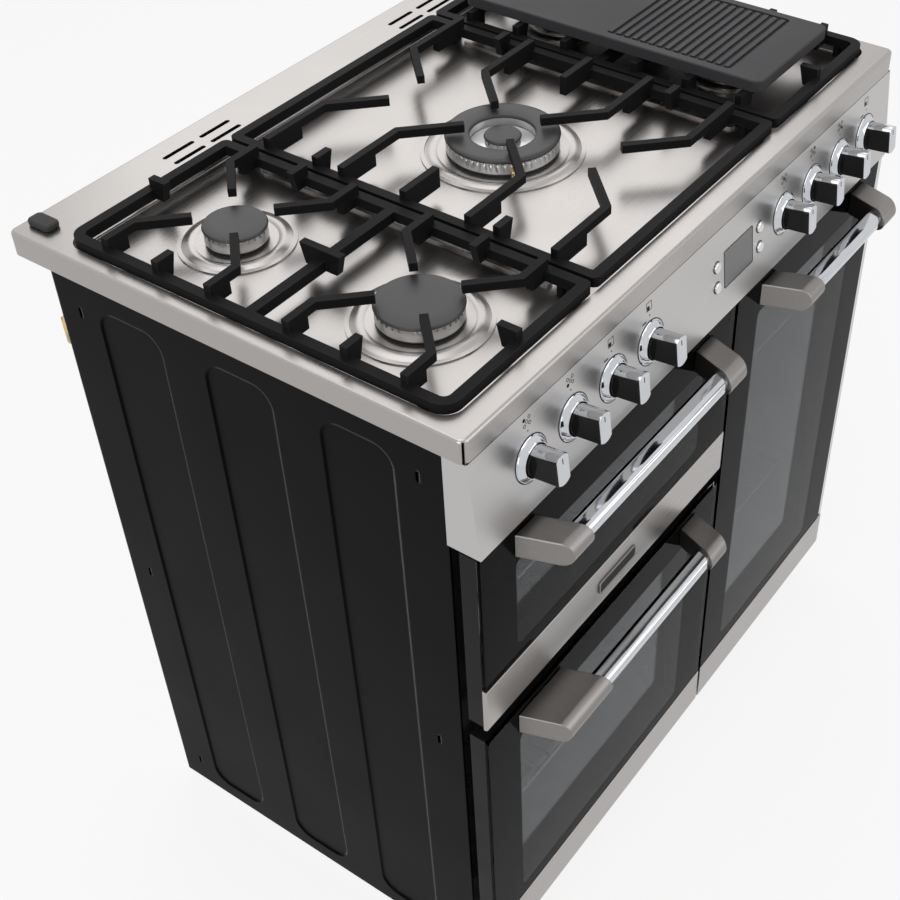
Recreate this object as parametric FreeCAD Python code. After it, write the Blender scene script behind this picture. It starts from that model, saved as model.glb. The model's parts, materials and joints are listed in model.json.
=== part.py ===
import FreeCAD, Part
import math
import os

from FreeCAD import Placement, Rotation, Vector

# Range cooker, 900 mm wide: a five-burner hob over a grill, a main oven and a tall oven.
# Millimetres. X runs to the right, Y to the back, Z up. The origin is under the middle of
# the whole cooker, on the floor.

# Hob
hob_width = 900.0
hob_depth = 600.0
hob_rim = 28.0
hob_sheet = 2.0
hob_corner_radius = 9.0
hob_edge_radius = 4.0
well_depth = 16.0
well_side_margin = 18.0
well_front_margin = 28.0
well_rear_margin = 68.0
well_corner_radius = 22.0
vent_length = 48.0
vent_width = 6.0
vent_gap = 10.0
vent_rows = (32.0, 50.0)
vent_offset_x = 201.0
vent_end_share = 0.49
bumper_size = (20.0, 33.0, 8.0)
bumper_inset = (19.0, 9.0)
bumper_round_share = 0.3

# Casing
feet_height = 12.0
feet_radius = 18.0
feet_inset = 60.0
sole_taper = 0.8
stem_share = 0.4
side_height = 882.0
side_sheet = 3.0
side_inset = 5.0
side_front_setback = 28.0
rear_overhang = 51.0
rear_sheet = 2.0
base_sheet = 2.0
plinth_setback = 60.0
plinth_floor_gap = 2.0
emboss_depth = 2.2
emboss_slope_share = 0.9
emboss_width = 92.0
emboss_edge = 61.5
emboss_top_margin = 30.0
emboss_bottom_margin = 24.0
emboss_radius = 26.0
slot_size = (4.0, 14.0)
slot_edge = 33.0
slot_levels = (40.0, 440.0, 830.0)

# Fascia and controls
fascia_height = 117.0
fascia_tilt = 6.0
fascia_side_inset = 2.0
fascia_sheet = 2.0
control_drop = 57.0
control_setback = 2.0
control_hole_gap = 1.0
cutter_reach = 4.0
knob_pitch = 73.0
knob_groups = (-246.0, 270.0)
knob_group_count = 4
knob_jobs = ("gas", "gas", "oven", "oven", "gas", "gas", "gas", "oven")
bezel_radius = 24.0
bezel_top_radius = 18.5
bezel_height = 7.0
knob_radius = 17.0
knob_grip_width = 21.0
knob_length = 37.0
knob_base = 9.0
spindle_radius = 4.0
spindle_length = 22.0
running_gap = 0.08
display_size = (64.0, 46.0)
display_centre_x = 52.0
clock_depth = 14.0
clock_margin = 8.0
clock_post_inset = 4.0
button_radius = 6.5
button_spread = (49.0, 13.0)
button_proud = 3.0
button_length = 12.0
button_travel = 1.5
button_gap = 0.3
button_round_share = 0.5
tap_radius = 11.0
tap_length = 46.0
tap_tail = 12.0
clear_behind = (60.0, 30.0)
switch_size = 34.0
manifold_size = 16.0
manifold_drop = 4.0
manifold_end = 20.0
feed_radius = 3.0
feed_bend = 15.0
feed_root_share = 0.7
inlet_radius = 7.0
inlet_bend = 17.5
inlet_bore_radius = 5.6
inlet_hole_gap = 1.0
inlet_inset = (22.0, 25.0)
inlet_drop = 33.0
elbow_hex = 12.0
elbow_length = 14.0
inlet_thread_radius = 10.4
inlet_thread_length = 15.0

# Doors
door_proud = 9.5
door_side_inset = 3.0
door_floor_gap = 51.0
door_top_gap = 4.0
door_split_x = 55.0
door_split_gap = 6.0
upper_door_height = 259.6
door_level_gap = 22.0
door_glass = 5.0
glass_corner = 2.0
door_thickness = 26.0
door_frame_inset = 2.0
strip_height = 65.0
strip_proud = 1.0
strip_edge_radius = 5.4
window_side_margin = 63.0
window_top_margin = 56.0
window_strip_margin = 14.0
window_corner = 8.0
inner_glass = 4.0
inner_glass_lap = 10.0
inner_glass_gap = 0.2
handle_depth = 58.0
handle_height = 30.0
handle_drop = 9.0
handle_margin = 56.0
bracket_width = 36.0
bracket_splay = 20.0
long_bracket_extra = 48.0
long_bracket_door = "door_lower_left"
bar_depth = 24.0
bar_height = 19.0
bar_nose_gap = 5.0
bar_round_share = 0.42

# Door hinges
hinge_back = 20.0
hinge_inset = 14.0
hinge_along = 46.0
pin_radius = 4.0
lug_radius = 7.0
lug_width = 12.0
pin_overhang = 12.0
lug_clearance = 3.0

# Ovens
frame_setback = 30.0
frame_sheet = 3.0
cavity_side_margin = 58.0
cavity_top_margin = 34.0
cavity_bottom_margin = 55.0
liner_sheet = 2.0
rear_space = 102.0
seal_width = 10.0
seal_gap = 0.3
rack_wire = 3.0
rack_front_gap = 14.0
rack_wire_pitch = 27.0
cross_wire = 2.25
rack_side_gap = 2.0
runner_size = (12.0, 4.0, 3.0)
rack_shares = {"door_upper_left": (0.22,), "door_lower_left": (0.3,), "door_right": (0.25, 0.72)}
element_radius = 4.0
element_bend = 10.0
element_inset = (40.0, 60.0)
hairpin_bend = 30.0
element_wall_gap = 10.0
fan_radius = 62.0
fan_height = 22.0
fan_blade_count = 8
fan_wall_gap = 6.0
fan_disc = 2.0
blade_root_share = 0.55
blade_sheet = 2.0
blade_nose_gap = 4.0
shaft_radius = 4.0
shaft_tail = 24.0
shaft_hole_gap = 4.0
motor_radius = 36.0
motor_length = 46.0
motor_bore = 26.0
baffle_gap = 34.0
cover_margin = 26.0
cover_sheet = 1.5
cover_leg_inset = 6.0
cover_leg = 4.0
cover_hole_radius = 5.0
cover_hole_rows = (22.0, 40.0)
cover_hole_count = 12
terminal_size = (110.0, 36.0, 80.0)
terminal_inset = 140.0
terminal_level = 300.0

# Burners
burner_offset_x = 0.75
burner_spread_trim = 1.5
burner_offset_y = 0.5
cap_height = 8.0
cap_thickness = 5.0
cap_edge_radius = 2.0
crown_height = 13.0
crown_step = 1.0
dish_step = 3.0
cup_radius = 19.0
cup_depth = 26.0
cup_gap = 0.3
pad_height = 2.0
pad_margin = 14.0
ring_width = 5.0
ring_height = 1.6
ring_margin = 24.0
ridge_width = 12.0
ridge_height = 3.0
ridge_end_gap = 52.0
large_cap = 46.5
medium_cap = 35.0
small_cap = 26.0
wok_outer = 67.0
wok_hole = 38.0
wok_inner = 22.0
wok_inner_drop = 3.0
spark_radius = 2.0
spark_gap = 4.0

# Pan supports and griddle
support_side_margin = 20.0
support_front = 31.0
support_back_margin = 71.0
support_split_x = 190.5
support_split_gap = 5.0
bar_width = 12.0
bar_top = 10.0
bar_bottom = -2.0
finger_top = 22.0
finger_depth = 10.0
finger_width = 9.0
finger_root = 27.0
finger_tip = 30.0
finger_bend = 72.0
wok_row_gap = 19.0
wok_row_end = 54.0
wok_finger_bend = 84.0
wok_rib_reach = 123.0
stub_length = 24.0
mid_stub_length = 54.0
stub_taper = 6.0
support_outer_radius = 20.0
support_inner_radius = 8.0
support_least_radius = 2.0
foot_pad_radius = 5.0
seat_gap = 0.3
griddle_offset_x = -8.0
griddle_width = 178.0
griddle_end_margin = 35.0
griddle_thickness = 14.0
griddle_radius = 12.0
griddle_edge_radius = 2.0
griddle_margin = 12.0
griddle_dish = 3.0
griddle_front_margin = 46.0
rib_count = 15
rib_pitch = 11.6
rib_width = 6.0
rib_height = 3.0
rib_start_share = 0.7
rib_end_gap = 4.0

# Levels and planes worked out from the sizes above
handle_reach = door_proud + handle_depth
hob_front = -(hob_depth - handle_reach) / 2
hob_back = hob_front + hob_depth
rim_bottom = feet_height + side_height
rim_top = rim_bottom + hob_rim
well_floor = rim_top - well_depth
body_front = hob_front + side_front_setback
body_back = hob_back - rear_overhang
emboss_pitch = (body_back - body_front - 2 * emboss_edge - emboss_width) / 2
side_x = hob_width / 2 - side_inset
inner_x = side_x - side_sheet
tilt = math.radians(fascia_tilt)
fascia_bottom = rim_bottom - fascia_height * math.cos(tilt)
frame_front = hob_front + frame_setback
frame_back = frame_front + frame_sheet
door_front = hob_front - door_proud
door_back = door_front + door_thickness
door_top = fascia_bottom - door_top_gap
door_x = hob_width / 2 - door_side_inset
upper_floor = door_top - upper_door_height
lower_top = upper_floor - door_level_gap
hinge_y = door_front + hinge_back
support_back = hob_depth - support_back_margin
burner_line = (support_front + support_back) / 2 + burner_offset_y
burner_mid = hob_front + burner_line
support_half = (support_back - support_front) / 2
burner_spread = support_half / 2 - burner_spread_trim
wok_finger_rows = (wok_outer + wok_row_gap, support_half - wok_row_end)
griddle_length = 2 * (support_half - griddle_end_margin)
manifold_level = rim_bottom - control_drop * math.cos(tilt) - manifold_drop
cavity_depth = body_back - rear_sheet - rear_space - liner_sheet - frame_back
support_edge_x = hob_width / 2 - support_side_margin
burner_x = (support_edge_x + support_split_x) / 2 + burner_offset_x
griddle_centre_x = burner_x + griddle_offset_x

NODES = {}


def keep(name, *shapes):
    """Store one node: a single solid, or a group of separate solids."""
    solids = [solid for shape in shapes for solid in shape.Solids]
    NODES[name] = solids[0] if len(solids) == 1 else Part.makeCompound(solids)


def block(x0, x1, y0, y1, z0, z1):
    return Part.makeBox(x1 - x0, y1 - y0, z1 - z0, Vector(x0, y0, z0))


def upright(shape):
    """The edges of a shape that run straight up."""
    return [e for e in shape.Edges if abs(abs(e.tangentAt(e.FirstParameter).z) - 1) < 1e-6]


def round_block(x0, x1, y0, y1, z0, z1, radius):
    solid = block(x0, x1, y0, y1, z0, z1)
    return solid.makeFillet(radius, upright(solid))


def rod(radius, start, direction, length):
    return Part.makeCylinder(radius, length, start, direction)


def rounded_plate_y(x0, x1, z0, z1, y0, y1, radius):
    """A plate that stands across Y with its four corners rounded."""
    solid = block(x0, x1, y0, y1, z0, z1)
    along = [e for e in solid.Edges if abs(abs(e.tangentAt(e.FirstParameter).y) - 1) < 1e-6]
    return solid.makeFillet(radius, along)


def prism(points, direction):
    wire = Part.makePolygon(points + [points[0]])
    return Part.Face(wire).extrude(direction)


def ribbon(points, width):
    """Both sides of a mitred strip of the given width along a line of plan points."""
    left, right = [], []
    for i, point in enumerate(points):
        before = (point - points[i - 1]).normalize() if i else None
        after = (points[i + 1] - point).normalize() if i + 1 < len(points) else None
        way = (before or after) + (after or before)
        way.normalize()
        side = Vector(-way.y, way.x, 0)
        along = after or before
        stretch = side.dot(Vector(-along.y, along.x, 0))
        left.append(point + side * (width / 2 / stretch))
        right.append(point - side * (width / 2 / stretch))
    return left + right[::-1]


def pipe(points, bend, radius):
    """A round pipe through corner points, with tangent bends at the corners."""
    edges, start = [], points[0]
    for before, corner, after in zip(points, points[1:], points[2:]):
        come = (corner - before).normalize()
        leave = (after - corner).normalize()
        turn = come.getAngle(leave)
        reach = bend * math.tan(turn / 2)
        first = corner - come * reach
        last = corner + leave * reach
        inward = (leave - come).normalize()
        middle = corner + inward * (bend / math.cos(turn / 2) - bend)
        edges.append(Part.LineSegment(start, first).toShape())
        edges.append(Part.Arc(first, middle, last).toShape())
        start = last
    edges.append(Part.LineSegment(start, points[-1]).toShape())
    path = Part.Wire(edges)
    way = points[1] - points[0]
    profile = Part.Wire([Part.makeCircle(radius, points[0], way)])
    tube = path.makePipeShell([profile], True, False)
    if tube.Volume < 0:
        tube.reverse()
    return tube


def mirror_x(shape):
    return shape.mirror(Vector(0, 0, 0), Vector(1, 0, 0))


# The fascia's own frame: x along it, y out of it, z up it, from the middle of its top edge.
FASCIA = Placement(Vector(0, hob_front, rim_bottom), Rotation(Vector(1, 0, 0), -fascia_tilt))


def on_fascia(shape):
    moved = shape.copy()
    moved.Placement = FASCIA.multiply(moved.Placement)
    return moved


def knob_places():
    half = (knob_group_count - 1) / 2
    return [group + (i - half) * knob_pitch for group in knob_groups for i in range(knob_group_count)]


def button_places():
    across, rise = button_spread
    return [(display_centre_x + sx * across, -control_drop + sz * rise)
            for sx in (-1, 1) for sz in (1, -1)]


def burner_places():
    """Name, x, y and cap radius of the four single-ring burners."""
    return [("front_left", -burner_x, burner_mid - burner_spread, large_cap),
            ("rear_left", -burner_x, burner_mid + burner_spread, medium_cap),
            ("front_right", burner_x, burner_mid - burner_spread, small_cap),
            ("rear_right", burner_x, burner_mid + burner_spread, medium_cap)]


def all_burners():
    return [place[1:] for place in burner_places()] + [(0.0, burner_mid, wok_outer)]


def make_hob():
    half = hob_width / 2
    outer = round_block(-half, half, hob_front, hob_back, rim_bottom, rim_top, hob_corner_radius)
    rim = [e for e in outer.Edges if e.BoundBox.ZMin > rim_top - 0.01]
    outer = outer.makeFillet(hob_edge_radius, rim)
    wx = half - well_side_margin
    wy0 = hob_front + well_front_margin
    wy1 = hob_back - well_rear_margin
    well = round_block(-wx, wx, wy0, wy1, well_floor, rim_top + 1, well_corner_radius)
    floor_edges = [e for e in well.Edges if e.BoundBox.ZMax < well_floor + 0.01]
    well = well.makeFillet(hob_edge_radius, floor_edges)
    s = hob_sheet
    under = block(-half + s, half - s, hob_front + s, hob_back - s, rim_bottom - 1, rim_top - s)
    tray = round_block(-wx - s, wx + s, wy0 - s, wy1 + s, well_floor - s, rim_top, well_corner_radius + s)
    plate = outer.cut(under.cut(tray)).cut(well)
    for x, y, radius in all_burners():
        pad = Part.makeCone(radius + pad_margin + pad_height, radius + pad_margin, pad_height,
                            Vector(x, y, well_floor))
        inner = radius + ring_margin
        ring = rod(inner + ring_width, Vector(x, y, well_floor), Vector(0, 0, 1), ring_height)
        ring = ring.cut(rod(inner, Vector(x, y, well_floor - 1), Vector(0, 0, 1), ring_height + 2))
        hole = rod(cup_radius + cup_gap, Vector(x, y, rim_bottom - 1), Vector(0, 0, 1), hob_rim + 2)
        plate = plate.fuse([pad, ring]).cut(hole)
    for sx in (-1, 1):
        middle = sx * support_split_x
        ridge = round_block(middle - ridge_width / 2, middle + ridge_width / 2,
                            hob_front + support_front + ridge_end_gap,
                            hob_front + support_back - ridge_end_gap,
                            well_floor - s / 2, well_floor + ridge_height, ridge_width * vent_end_share)
        plate = plate.fuse(ridge)
    for sx in (-1, 1):
        for row in vent_rows:
            for side in (-1, 1):
                middle = sx * vent_offset_x + side * (vent_gap + vent_length) / 2
                y = hob_back - row
                slot = round_block(middle - vent_length / 2, middle + vent_length / 2,
                                   y - vent_width / 2, y + vent_width / 2,
                                   rim_top - 2 * s, rim_top + 1, vent_width * vent_end_share)
                plate = plate.cut(slot)
    keep("hob_top", plate.removeSplitter())
    width, length, height = bumper_size
    x1 = half - bumper_inset[0]
    y1 = hob_back - bumper_inset[1]
    bumper = round_block(x1 - width, x1, y1 - length, y1, rim_top, rim_top + height,
                         width * bumper_round_share)
    keep("hob_bumpers", bumper, mirror_x(bumper))


def make_casing():
    y0, y1 = body_front, body_back
    panel = block(inner_x, side_x, y0, y1, feet_height, rim_bottom)
    middle = (y0 + y1) / 2
    for i in (-1, 0, 1):
        y = middle + i * emboss_pitch
        box = block(side_x - emboss_depth, side_x, y - emboss_width / 2, y + emboss_width / 2,
                    feet_height + emboss_bottom_margin, rim_bottom - emboss_top_margin)
        along = [e for e in box.Edges if abs(abs(e.tangentAt(e.FirstParameter).x) - 1) < 1e-6]
        box = box.makeFillet(emboss_radius, along)
        foot = [e for e in box.Edges if e.BoundBox.XMax < side_x - emboss_depth / 2]
        panel = panel.cut(box.makeChamfer(emboss_depth * emboss_slope_share, foot))
    for y in (y0 + slot_edge, y1 - slot_edge):
        for level in slot_levels:
            z = rim_bottom - level
            panel = panel.cut(block(inner_x - 1, side_x + 1, y - slot_size[0] / 2, y + slot_size[0] / 2,
                                    z - slot_size[1], z))
    panel = panel.removeSplitter()
    keep("side_panels", panel, mirror_x(panel))

    inlet_x = -(inner_x - inlet_inset[0])
    rear = block(-inner_x, inner_x, y1 - rear_sheet, y1, feet_height, rim_bottom)
    rear = rear.cut(rod(inlet_radius + inlet_hole_gap, Vector(inlet_x, y1 - rear_sheet - 1, manifold_level),
                        Vector(0, 1, 0), rear_sheet + 2))
    keep("rear_panel", rear)

    z0 = feet_height
    base = block(-inner_x, inner_x, frame_front, y1 - rear_sheet, z0, z0 + base_sheet)
    plinth_y = hob_front + plinth_setback
    plinth = block(-inner_x, inner_x, plinth_y, plinth_y + base_sheet, plinth_floor_gap, z0)
    keep("base_tray", base.fuse(plinth).removeSplitter())

    feet = []
    for sx in (-1, 1):
        for y in (y0 + feet_inset + plinth_setback, y1 - feet_inset):
            x = sx * (inner_x - feet_inset)
            sole = Part.makeCone(feet_radius, feet_radius * sole_taper, feet_height / 2, Vector(x, y, 0))
            stem = rod(feet_radius * stem_share, Vector(x, y, feet_height / 2), Vector(0, 0, 1),
                       feet_height / 2)
            feet.append(sole.fuse(stem))
    keep("feet", *feet)


def fascia_shell():
    """The folded fascia: tilted front, closed ends, open to the back."""
    half = hob_width / 2 - fascia_side_inset
    lean = fascia_height * math.sin(tilt)
    back = body_front
    s = fascia_sheet

    def wedge(inset, x):
        return prism([Vector(-x, hob_front + inset, rim_bottom - inset),
                      Vector(-x, hob_front - lean + inset, fascia_bottom + inset),
                      Vector(-x, back + inset, fascia_bottom + inset),
                      Vector(-x, back + inset, rim_bottom - inset)], Vector(2 * x, 0, 0))

    return wedge(0, half).cut(wedge(s, half - s))


def make_fascia():
    shell = fascia_shell()
    deep = 2 * fascia_sheet + cutter_reach
    hole = knob_radius + control_hole_gap
    cuts = [on_fascia(rod(hole, Vector(x, -cutter_reach, -control_drop), Vector(0, 1, 0), deep))
            for x in knob_places()]
    cuts += [on_fascia(rod(button_radius + button_gap, Vector(x, -cutter_reach, z), Vector(0, 1, 0), deep))
             for x, z in button_places()]
    width, height = display_size
    x0 = display_centre_x - width / 2
    z0 = -control_drop - height / 2
    cuts.append(on_fascia(block(x0, x0 + width, -cutter_reach, deep - cutter_reach, z0, z0 + height)))
    keep("fascia", shell.cut(cuts))

    bezels = []
    for x in knob_places():
        ring = Part.makeCone(bezel_radius, bezel_top_radius, bezel_height,
                             Vector(x, 0, -control_drop), Vector(0, -1, 0))
        bore = rod(hole, Vector(x, 1, -control_drop), Vector(0, -1, 0), bezel_height + 2)
        bezels.append(on_fascia(ring.cut(bore)))
    keep("knob_bezels", *bezels)

    pane = block(x0, x0 + width, 0, fascia_sheet, z0, z0 + height)
    rest = button_radius + button_length - button_proud
    across = button_spread[0] + rest
    face = button_length - button_proud + button_travel + button_gap
    body = block(display_centre_x - across, display_centre_x + across, face, face + clock_depth,
                 z0 - clock_margin, z0 + height + clock_margin)
    p = clock_post_inset
    post = block(x0 + p, x0 + width - p, fascia_sheet, face, z0 + p, z0 + height - p)
    keep("clock_module", on_fascia(pane.fuse([post, body])))

    for i, (x, z) in enumerate(button_places()):
        head = rod(button_radius, Vector(x, -button_proud, z), Vector(0, 1, 0), button_length)
        rim = [e for e in head.Edges if e.BoundBox.YMax < -button_proud + 0.01]
        keep(f"clock_button_{i + 1}", on_fascia(head.makeFillet(button_proud * button_round_share, rim)))


def make_knob(x):
    z = -control_drop
    out = Vector(0, -1, 0)
    base = rod(knob_radius, Vector(x, 0, z), out, knob_base)
    grip = block(x - knob_grip_width / 2, x + knob_grip_width / 2, -knob_length, -knob_base,
                 z - knob_radius, z + knob_radius)
    grip = grip.common(rod(knob_radius, Vector(x, -knob_base, z), out, knob_length))
    spindle = rod(spindle_radius, Vector(x, spindle_length, z), out, spindle_length)
    return on_fascia(base.fuse([grip, spindle]).removeSplitter())


def make_controls():
    taps, switches = [], []
    y = hob_front + fascia_sheet + tap_length
    half = manifold_size / 2
    places = knob_places()
    gas_places = [x for x, job in zip(places, knob_jobs) if job == "gas"]
    run = [gas_places[0] - manifold_end, gas_places[-1] + manifold_end]
    bar = block(run[0], run[1], y, y + manifold_size, manifold_level - half, manifold_level + half)
    for i, (x, job) in enumerate(zip(places, knob_jobs)):
        keep(f"knob_{i + 1}", make_knob(x))
        z = -control_drop
        start = fascia_sheet + control_setback
        bore = rod(spindle_radius + running_gap, Vector(x, 0, z), Vector(0, 1, 0), spindle_length + 1)
        if job == "oven":
            h = switch_size / 2
            body = block(x - h, x + h, start, start + switch_size, z - h, z + h)
            switches.append(on_fascia(body.cut(bore)))
        else:
            body = rod(tap_radius, Vector(x, start, z), Vector(0, 1, 0), tap_length + tap_tail)
            taps.append(on_fascia(body.cut(bore)).cut(bar.fuse(behind(bar))))
    keep("gas_taps", *taps)
    keep("oven_switches", *switches)

    inlet_x = -(inner_x - inlet_inset[0])
    drop_y = body_back + inlet_inset[1]
    end = manifold_level - inlet_drop
    inlet = pipe([Vector(run[0], y + half, manifold_level), Vector(inlet_x, y + half, manifold_level),
                  Vector(inlet_x, drop_y, manifold_level), Vector(inlet_x, drop_y, end)],
                 inlet_bend, inlet_radius)
    feeds = []
    targets = sorted(all_burners(), key=lambda place: (place[0], -place[0] * place[1]))
    low = well_floor - cup_depth + feed_radius
    for x, (bx, by, radius) in zip(gas_places, targets):
        root = FASCIA.multVec(Vector(x, tap_length * feed_root_share, -control_drop))
        feeds.append(pipe([root, Vector(root.x, root.y, low), Vector(bx, by - cup_radius / 2, low)],
                          feed_bend, feed_radius))
    cups = [rod(cup_radius, Vector(bx, by, 0), Vector(0, 0, 1), rim_top) for bx, by, r in all_burners()]
    feeds = [feed.cut(cups + taps) for feed in feeds]
    keep("gas_pipework", bar, inlet, *feeds)

    down = Vector(0, 0, -1)
    nut = prism([Vector(inlet_x + elbow_hex * math.cos(math.pi * k / 3),
                        drop_y + elbow_hex * math.sin(math.pi * k / 3), end) for k in range(6)],
                Vector(0, 0, -elbow_length))
    thread = rod(inlet_thread_radius, Vector(inlet_x, drop_y, end - elbow_length), down,
                 inlet_thread_length)
    bore = rod(inlet_bore_radius, Vector(inlet_x, drop_y, end + 1), down,
               elbow_length + inlet_thread_length + 2)
    keep("gas_connector", nut.fuse(thread).cut(bore))


def behind(solid):
    """The space behind a solid, as a block that reaches far back."""
    b = solid.BoundBox
    far, around = clear_behind
    return block(b.XMin, b.XMax, b.YMin, b.YMax + far, b.ZMin - around, b.ZMax + around)


def make_burners():
    cups, crowns, caps, sparks = [], [], [], []
    floor = well_floor + pad_height
    cap_top = rim_top + cap_height
    up = Vector(0, 0, 1)

    def ring(x, y, outer, inner, z0, height):
        solid = rod(outer, Vector(x, y, z0), up, height)
        return solid.cut(rod(inner, Vector(x, y, z0 - 1), up, height + 2)) if inner else solid

    def edge_round(solid, top, radius):
        rim = [e for e in solid.Edges if e.BoundBox.ZMin > top - 0.01]
        return solid.makeFillet(radius, rim)

    crown_floor = cap_top - cap_thickness - crown_height
    for x, y, radius in all_burners():
        dish = rod(radius - dish_step, Vector(x, y, floor), up, crown_floor - floor)
        neck = rod(cup_radius, Vector(x, y, well_floor - cup_depth), up, cup_depth + pad_height)
        cups.append(dish.fuse(neck))
    for name, x, y, radius in burner_places():
        crowns.append(rod(radius - crown_step, Vector(x, y, crown_floor), up, crown_height))
        caps.append(edge_round(rod(radius, Vector(x, y, cap_top - cap_thickness), up, cap_thickness),
                               cap_top, cap_edge_radius))
    x, y = 0.0, burner_mid
    crowns.append(ring(x, y, wok_outer - crown_step, wok_hole + crown_step, crown_floor, crown_height))
    caps.append(edge_round(ring(x, y, wok_outer, wok_hole, cap_top - cap_thickness, cap_thickness),
                           cap_top, cap_edge_radius))
    inner_height = crown_height - wok_inner_drop
    crowns.append(rod(wok_inner - crown_step, Vector(x, y, crown_floor), up, inner_height))
    caps.append(edge_round(rod(wok_inner, Vector(x, y, crown_floor + inner_height), up, cap_thickness),
                           crown_floor + inner_height + cap_thickness, cap_edge_radius))
    for x, y, radius in all_burners():
        sx = x - (radius + spark_gap) * math.cos(math.pi / 4)
        sy = y - (radius + spark_gap) * math.sin(math.pi / 4)
        sparks.append(rod(spark_radius, Vector(sx, sy, floor), up, cap_top - cap_thickness - floor))
    keep("burner_cups", *cups)
    keep("burner_crowns", *crowns)
    keep("burner_caps", *caps)
    keep("spark_electrodes", *sparks)


def support_bars(x0, x1, radius_left, radius_right):
    """The bar frame of one pan support, with its short feet."""
    y0 = hob_front + support_front
    y1 = hob_front + support_back
    z0, z1 = rim_top + bar_bottom, rim_top + bar_top

    def frame(inset, low, high):
        solid = block(x0 + inset, x1 - inset, y0 + inset, y1 - inset, low, high)
        for edge_x, radius in ((x0 + inset, radius_left), (x1 - inset, radius_right)):
            near = [e for e in upright(solid) if abs(e.BoundBox.XMin - edge_x) < 0.01]
            solid = solid.makeFillet(max(radius - inset, support_least_radius), near)
        return solid

    bars = frame(0, z0, z1).cut(frame(bar_width, z0 - 1, z1 + 1))
    inset = bar_width / 2 + support_inner_radius
    pads = [rod(foot_pad_radius, Vector(x, y, well_floor + seat_gap), Vector(0, 0, 1),
                z0 - well_floor - seat_gap)
            for x in (x0 + bar_width / 2, x1 - bar_width / 2)
            for y in (y0 + support_outer_radius + inset, y1 - support_outer_radius - inset)]
    return [bars] + pads


def finger(points, reach):
    """A bent rib at finger height with a full-height web over its first stretch."""
    top = rim_top + finger_top
    plan = [Vector(x, y, top - finger_depth) for x, y in points]
    rib = prism(ribbon(plan, finger_width), Vector(0, 0, finger_depth))
    root, way = plan[0], (plan[1] - plan[0]).normalize()
    low = Vector(root.x, root.y, rim_top + bar_bottom)
    web = prism(ribbon([low, low + way * reach], finger_width), Vector(0, 0, finger_top - bar_bottom))
    return [rib, web]


def stub(x, y, dx, dy, length, start_taper=0.0):
    """A short upright plate on a bar, pointing along (dx, dy) and narrower at its foot."""
    low = rim_top + bar_bottom
    high = rim_top + finger_top
    way = Vector(dx, dy, 0)
    side = Vector(-dy, dx, 0) * finger_width
    root = Vector(x, y, 0) - side / 2
    outline = [(start_taper, low), (length - stub_taper, low), (length, high), (0.0, high)]
    return prism([root + way * along + Vector(0, 0, z) for along, z in outline], side)


def make_side_support():
    """The left pan support; the right one is its mirror image."""
    x0 = -support_edge_x
    x1 = -support_split_x - support_split_gap / 2
    pieces = support_bars(x0, x1, support_outer_radius, support_inner_radius)
    half = bar_width / 2
    z0, z1 = rim_top + bar_bottom, rim_top + bar_top
    middle = burner_mid
    pieces.append(block(x0 + half, x1 - half, middle - half, middle + half, z0, z1))
    pieces.append(stub(-burner_x, middle - mid_stub_length / 2, 0, 1, mid_stub_length, stub_taper))
    for y in (middle - burner_spread, middle + burner_spread):
        for edge, sx in ((x0 + half, 1), (x1 - half, -1)):
            pieces.append(stub(edge, y, sx, 0, stub_length))
            for sy in (-1, 1):
                row = y + sy * finger_bend
                bend = -burner_x - sx * finger_bend
                tip = (-burner_x - sx * finger_tip, y + sy * finger_tip)
                pieces += finger([(edge, row), (bend, row), tip], finger_root)
    for y, sy in ((hob_front + support_front + half, 1), (hob_front + support_back - half, -1)):
        pieces.append(stub(-burner_x, y, 0, sy, stub_length))
    return pieces[0].fuse(pieces[1:]).removeSplitter()


def make_centre_support():
    edge = support_split_x - support_split_gap / 2
    pieces = support_bars(-edge, edge, support_inner_radius, support_inner_radius)
    root = edge - bar_width / 2
    for sx in (-1, 1):
        pieces += finger([(sx * root, burner_mid), (sx * wok_rib_reach, burner_mid)], root - wok_rib_reach)
        for sy in (-1, 1):
            pieces.append(stub(sx * root, burner_mid + sy * burner_spread, -sx, 0, stub_length))
            for row in wok_finger_rows:
                y = burner_mid + sy * row
                drop = wok_finger_bend - finger_tip
                tip = (sx * finger_tip, y - sy * drop)
                pieces += finger([(sx * root, y), (sx * wok_finger_bend, y), tip], 2 * finger_root)
    return pieces[0].fuse(pieces[1:]).removeSplitter()


def make_supports():
    left = make_side_support()
    keep("pan_support_left", left)
    keep("pan_support_centre", make_centre_support())
    keep("pan_support_right", mirror_x(left))

    z0 = rim_top + finger_top + seat_gap
    z1 = z0 + griddle_thickness
    x0 = griddle_centre_x - griddle_width / 2
    x1 = x0 + griddle_width
    y0 = burner_mid - griddle_length / 2
    y1 = y0 + griddle_length
    plate = round_block(x0, x1, y0, y1, z0, z1, griddle_radius)
    rims = [e for e in plate.Edges if e.BoundBox.ZMin > z1 - 0.01]
    plate = plate.makeFillet(griddle_edge_radius, rims)
    m = griddle_margin
    front = y0 + griddle_front_margin
    grooves = round_block(x0 + m, x1 - m, front, y1 - m, z1 - griddle_dish, z1 + 1, griddle_radius / 2)
    plate = plate.cut(grooves)
    ribs = []
    for i in range(rib_count):
        y = front + (i + rib_start_share) * rib_pitch
        ribs.append(block(x0 + m + rib_end_gap, x1 - m - rib_end_gap, y - rib_width / 2, y + rib_width / 2,
                          z1 - griddle_dish - 1, z1 - griddle_dish + rib_height))
    keep("griddle", plate.fuse(ribs).removeSplitter())


def window_of(x0, x1, z0, z1):
    m = window_side_margin
    return x0 + m, x1 - m, z0 + strip_height + window_strip_margin, z1 - window_top_margin


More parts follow.
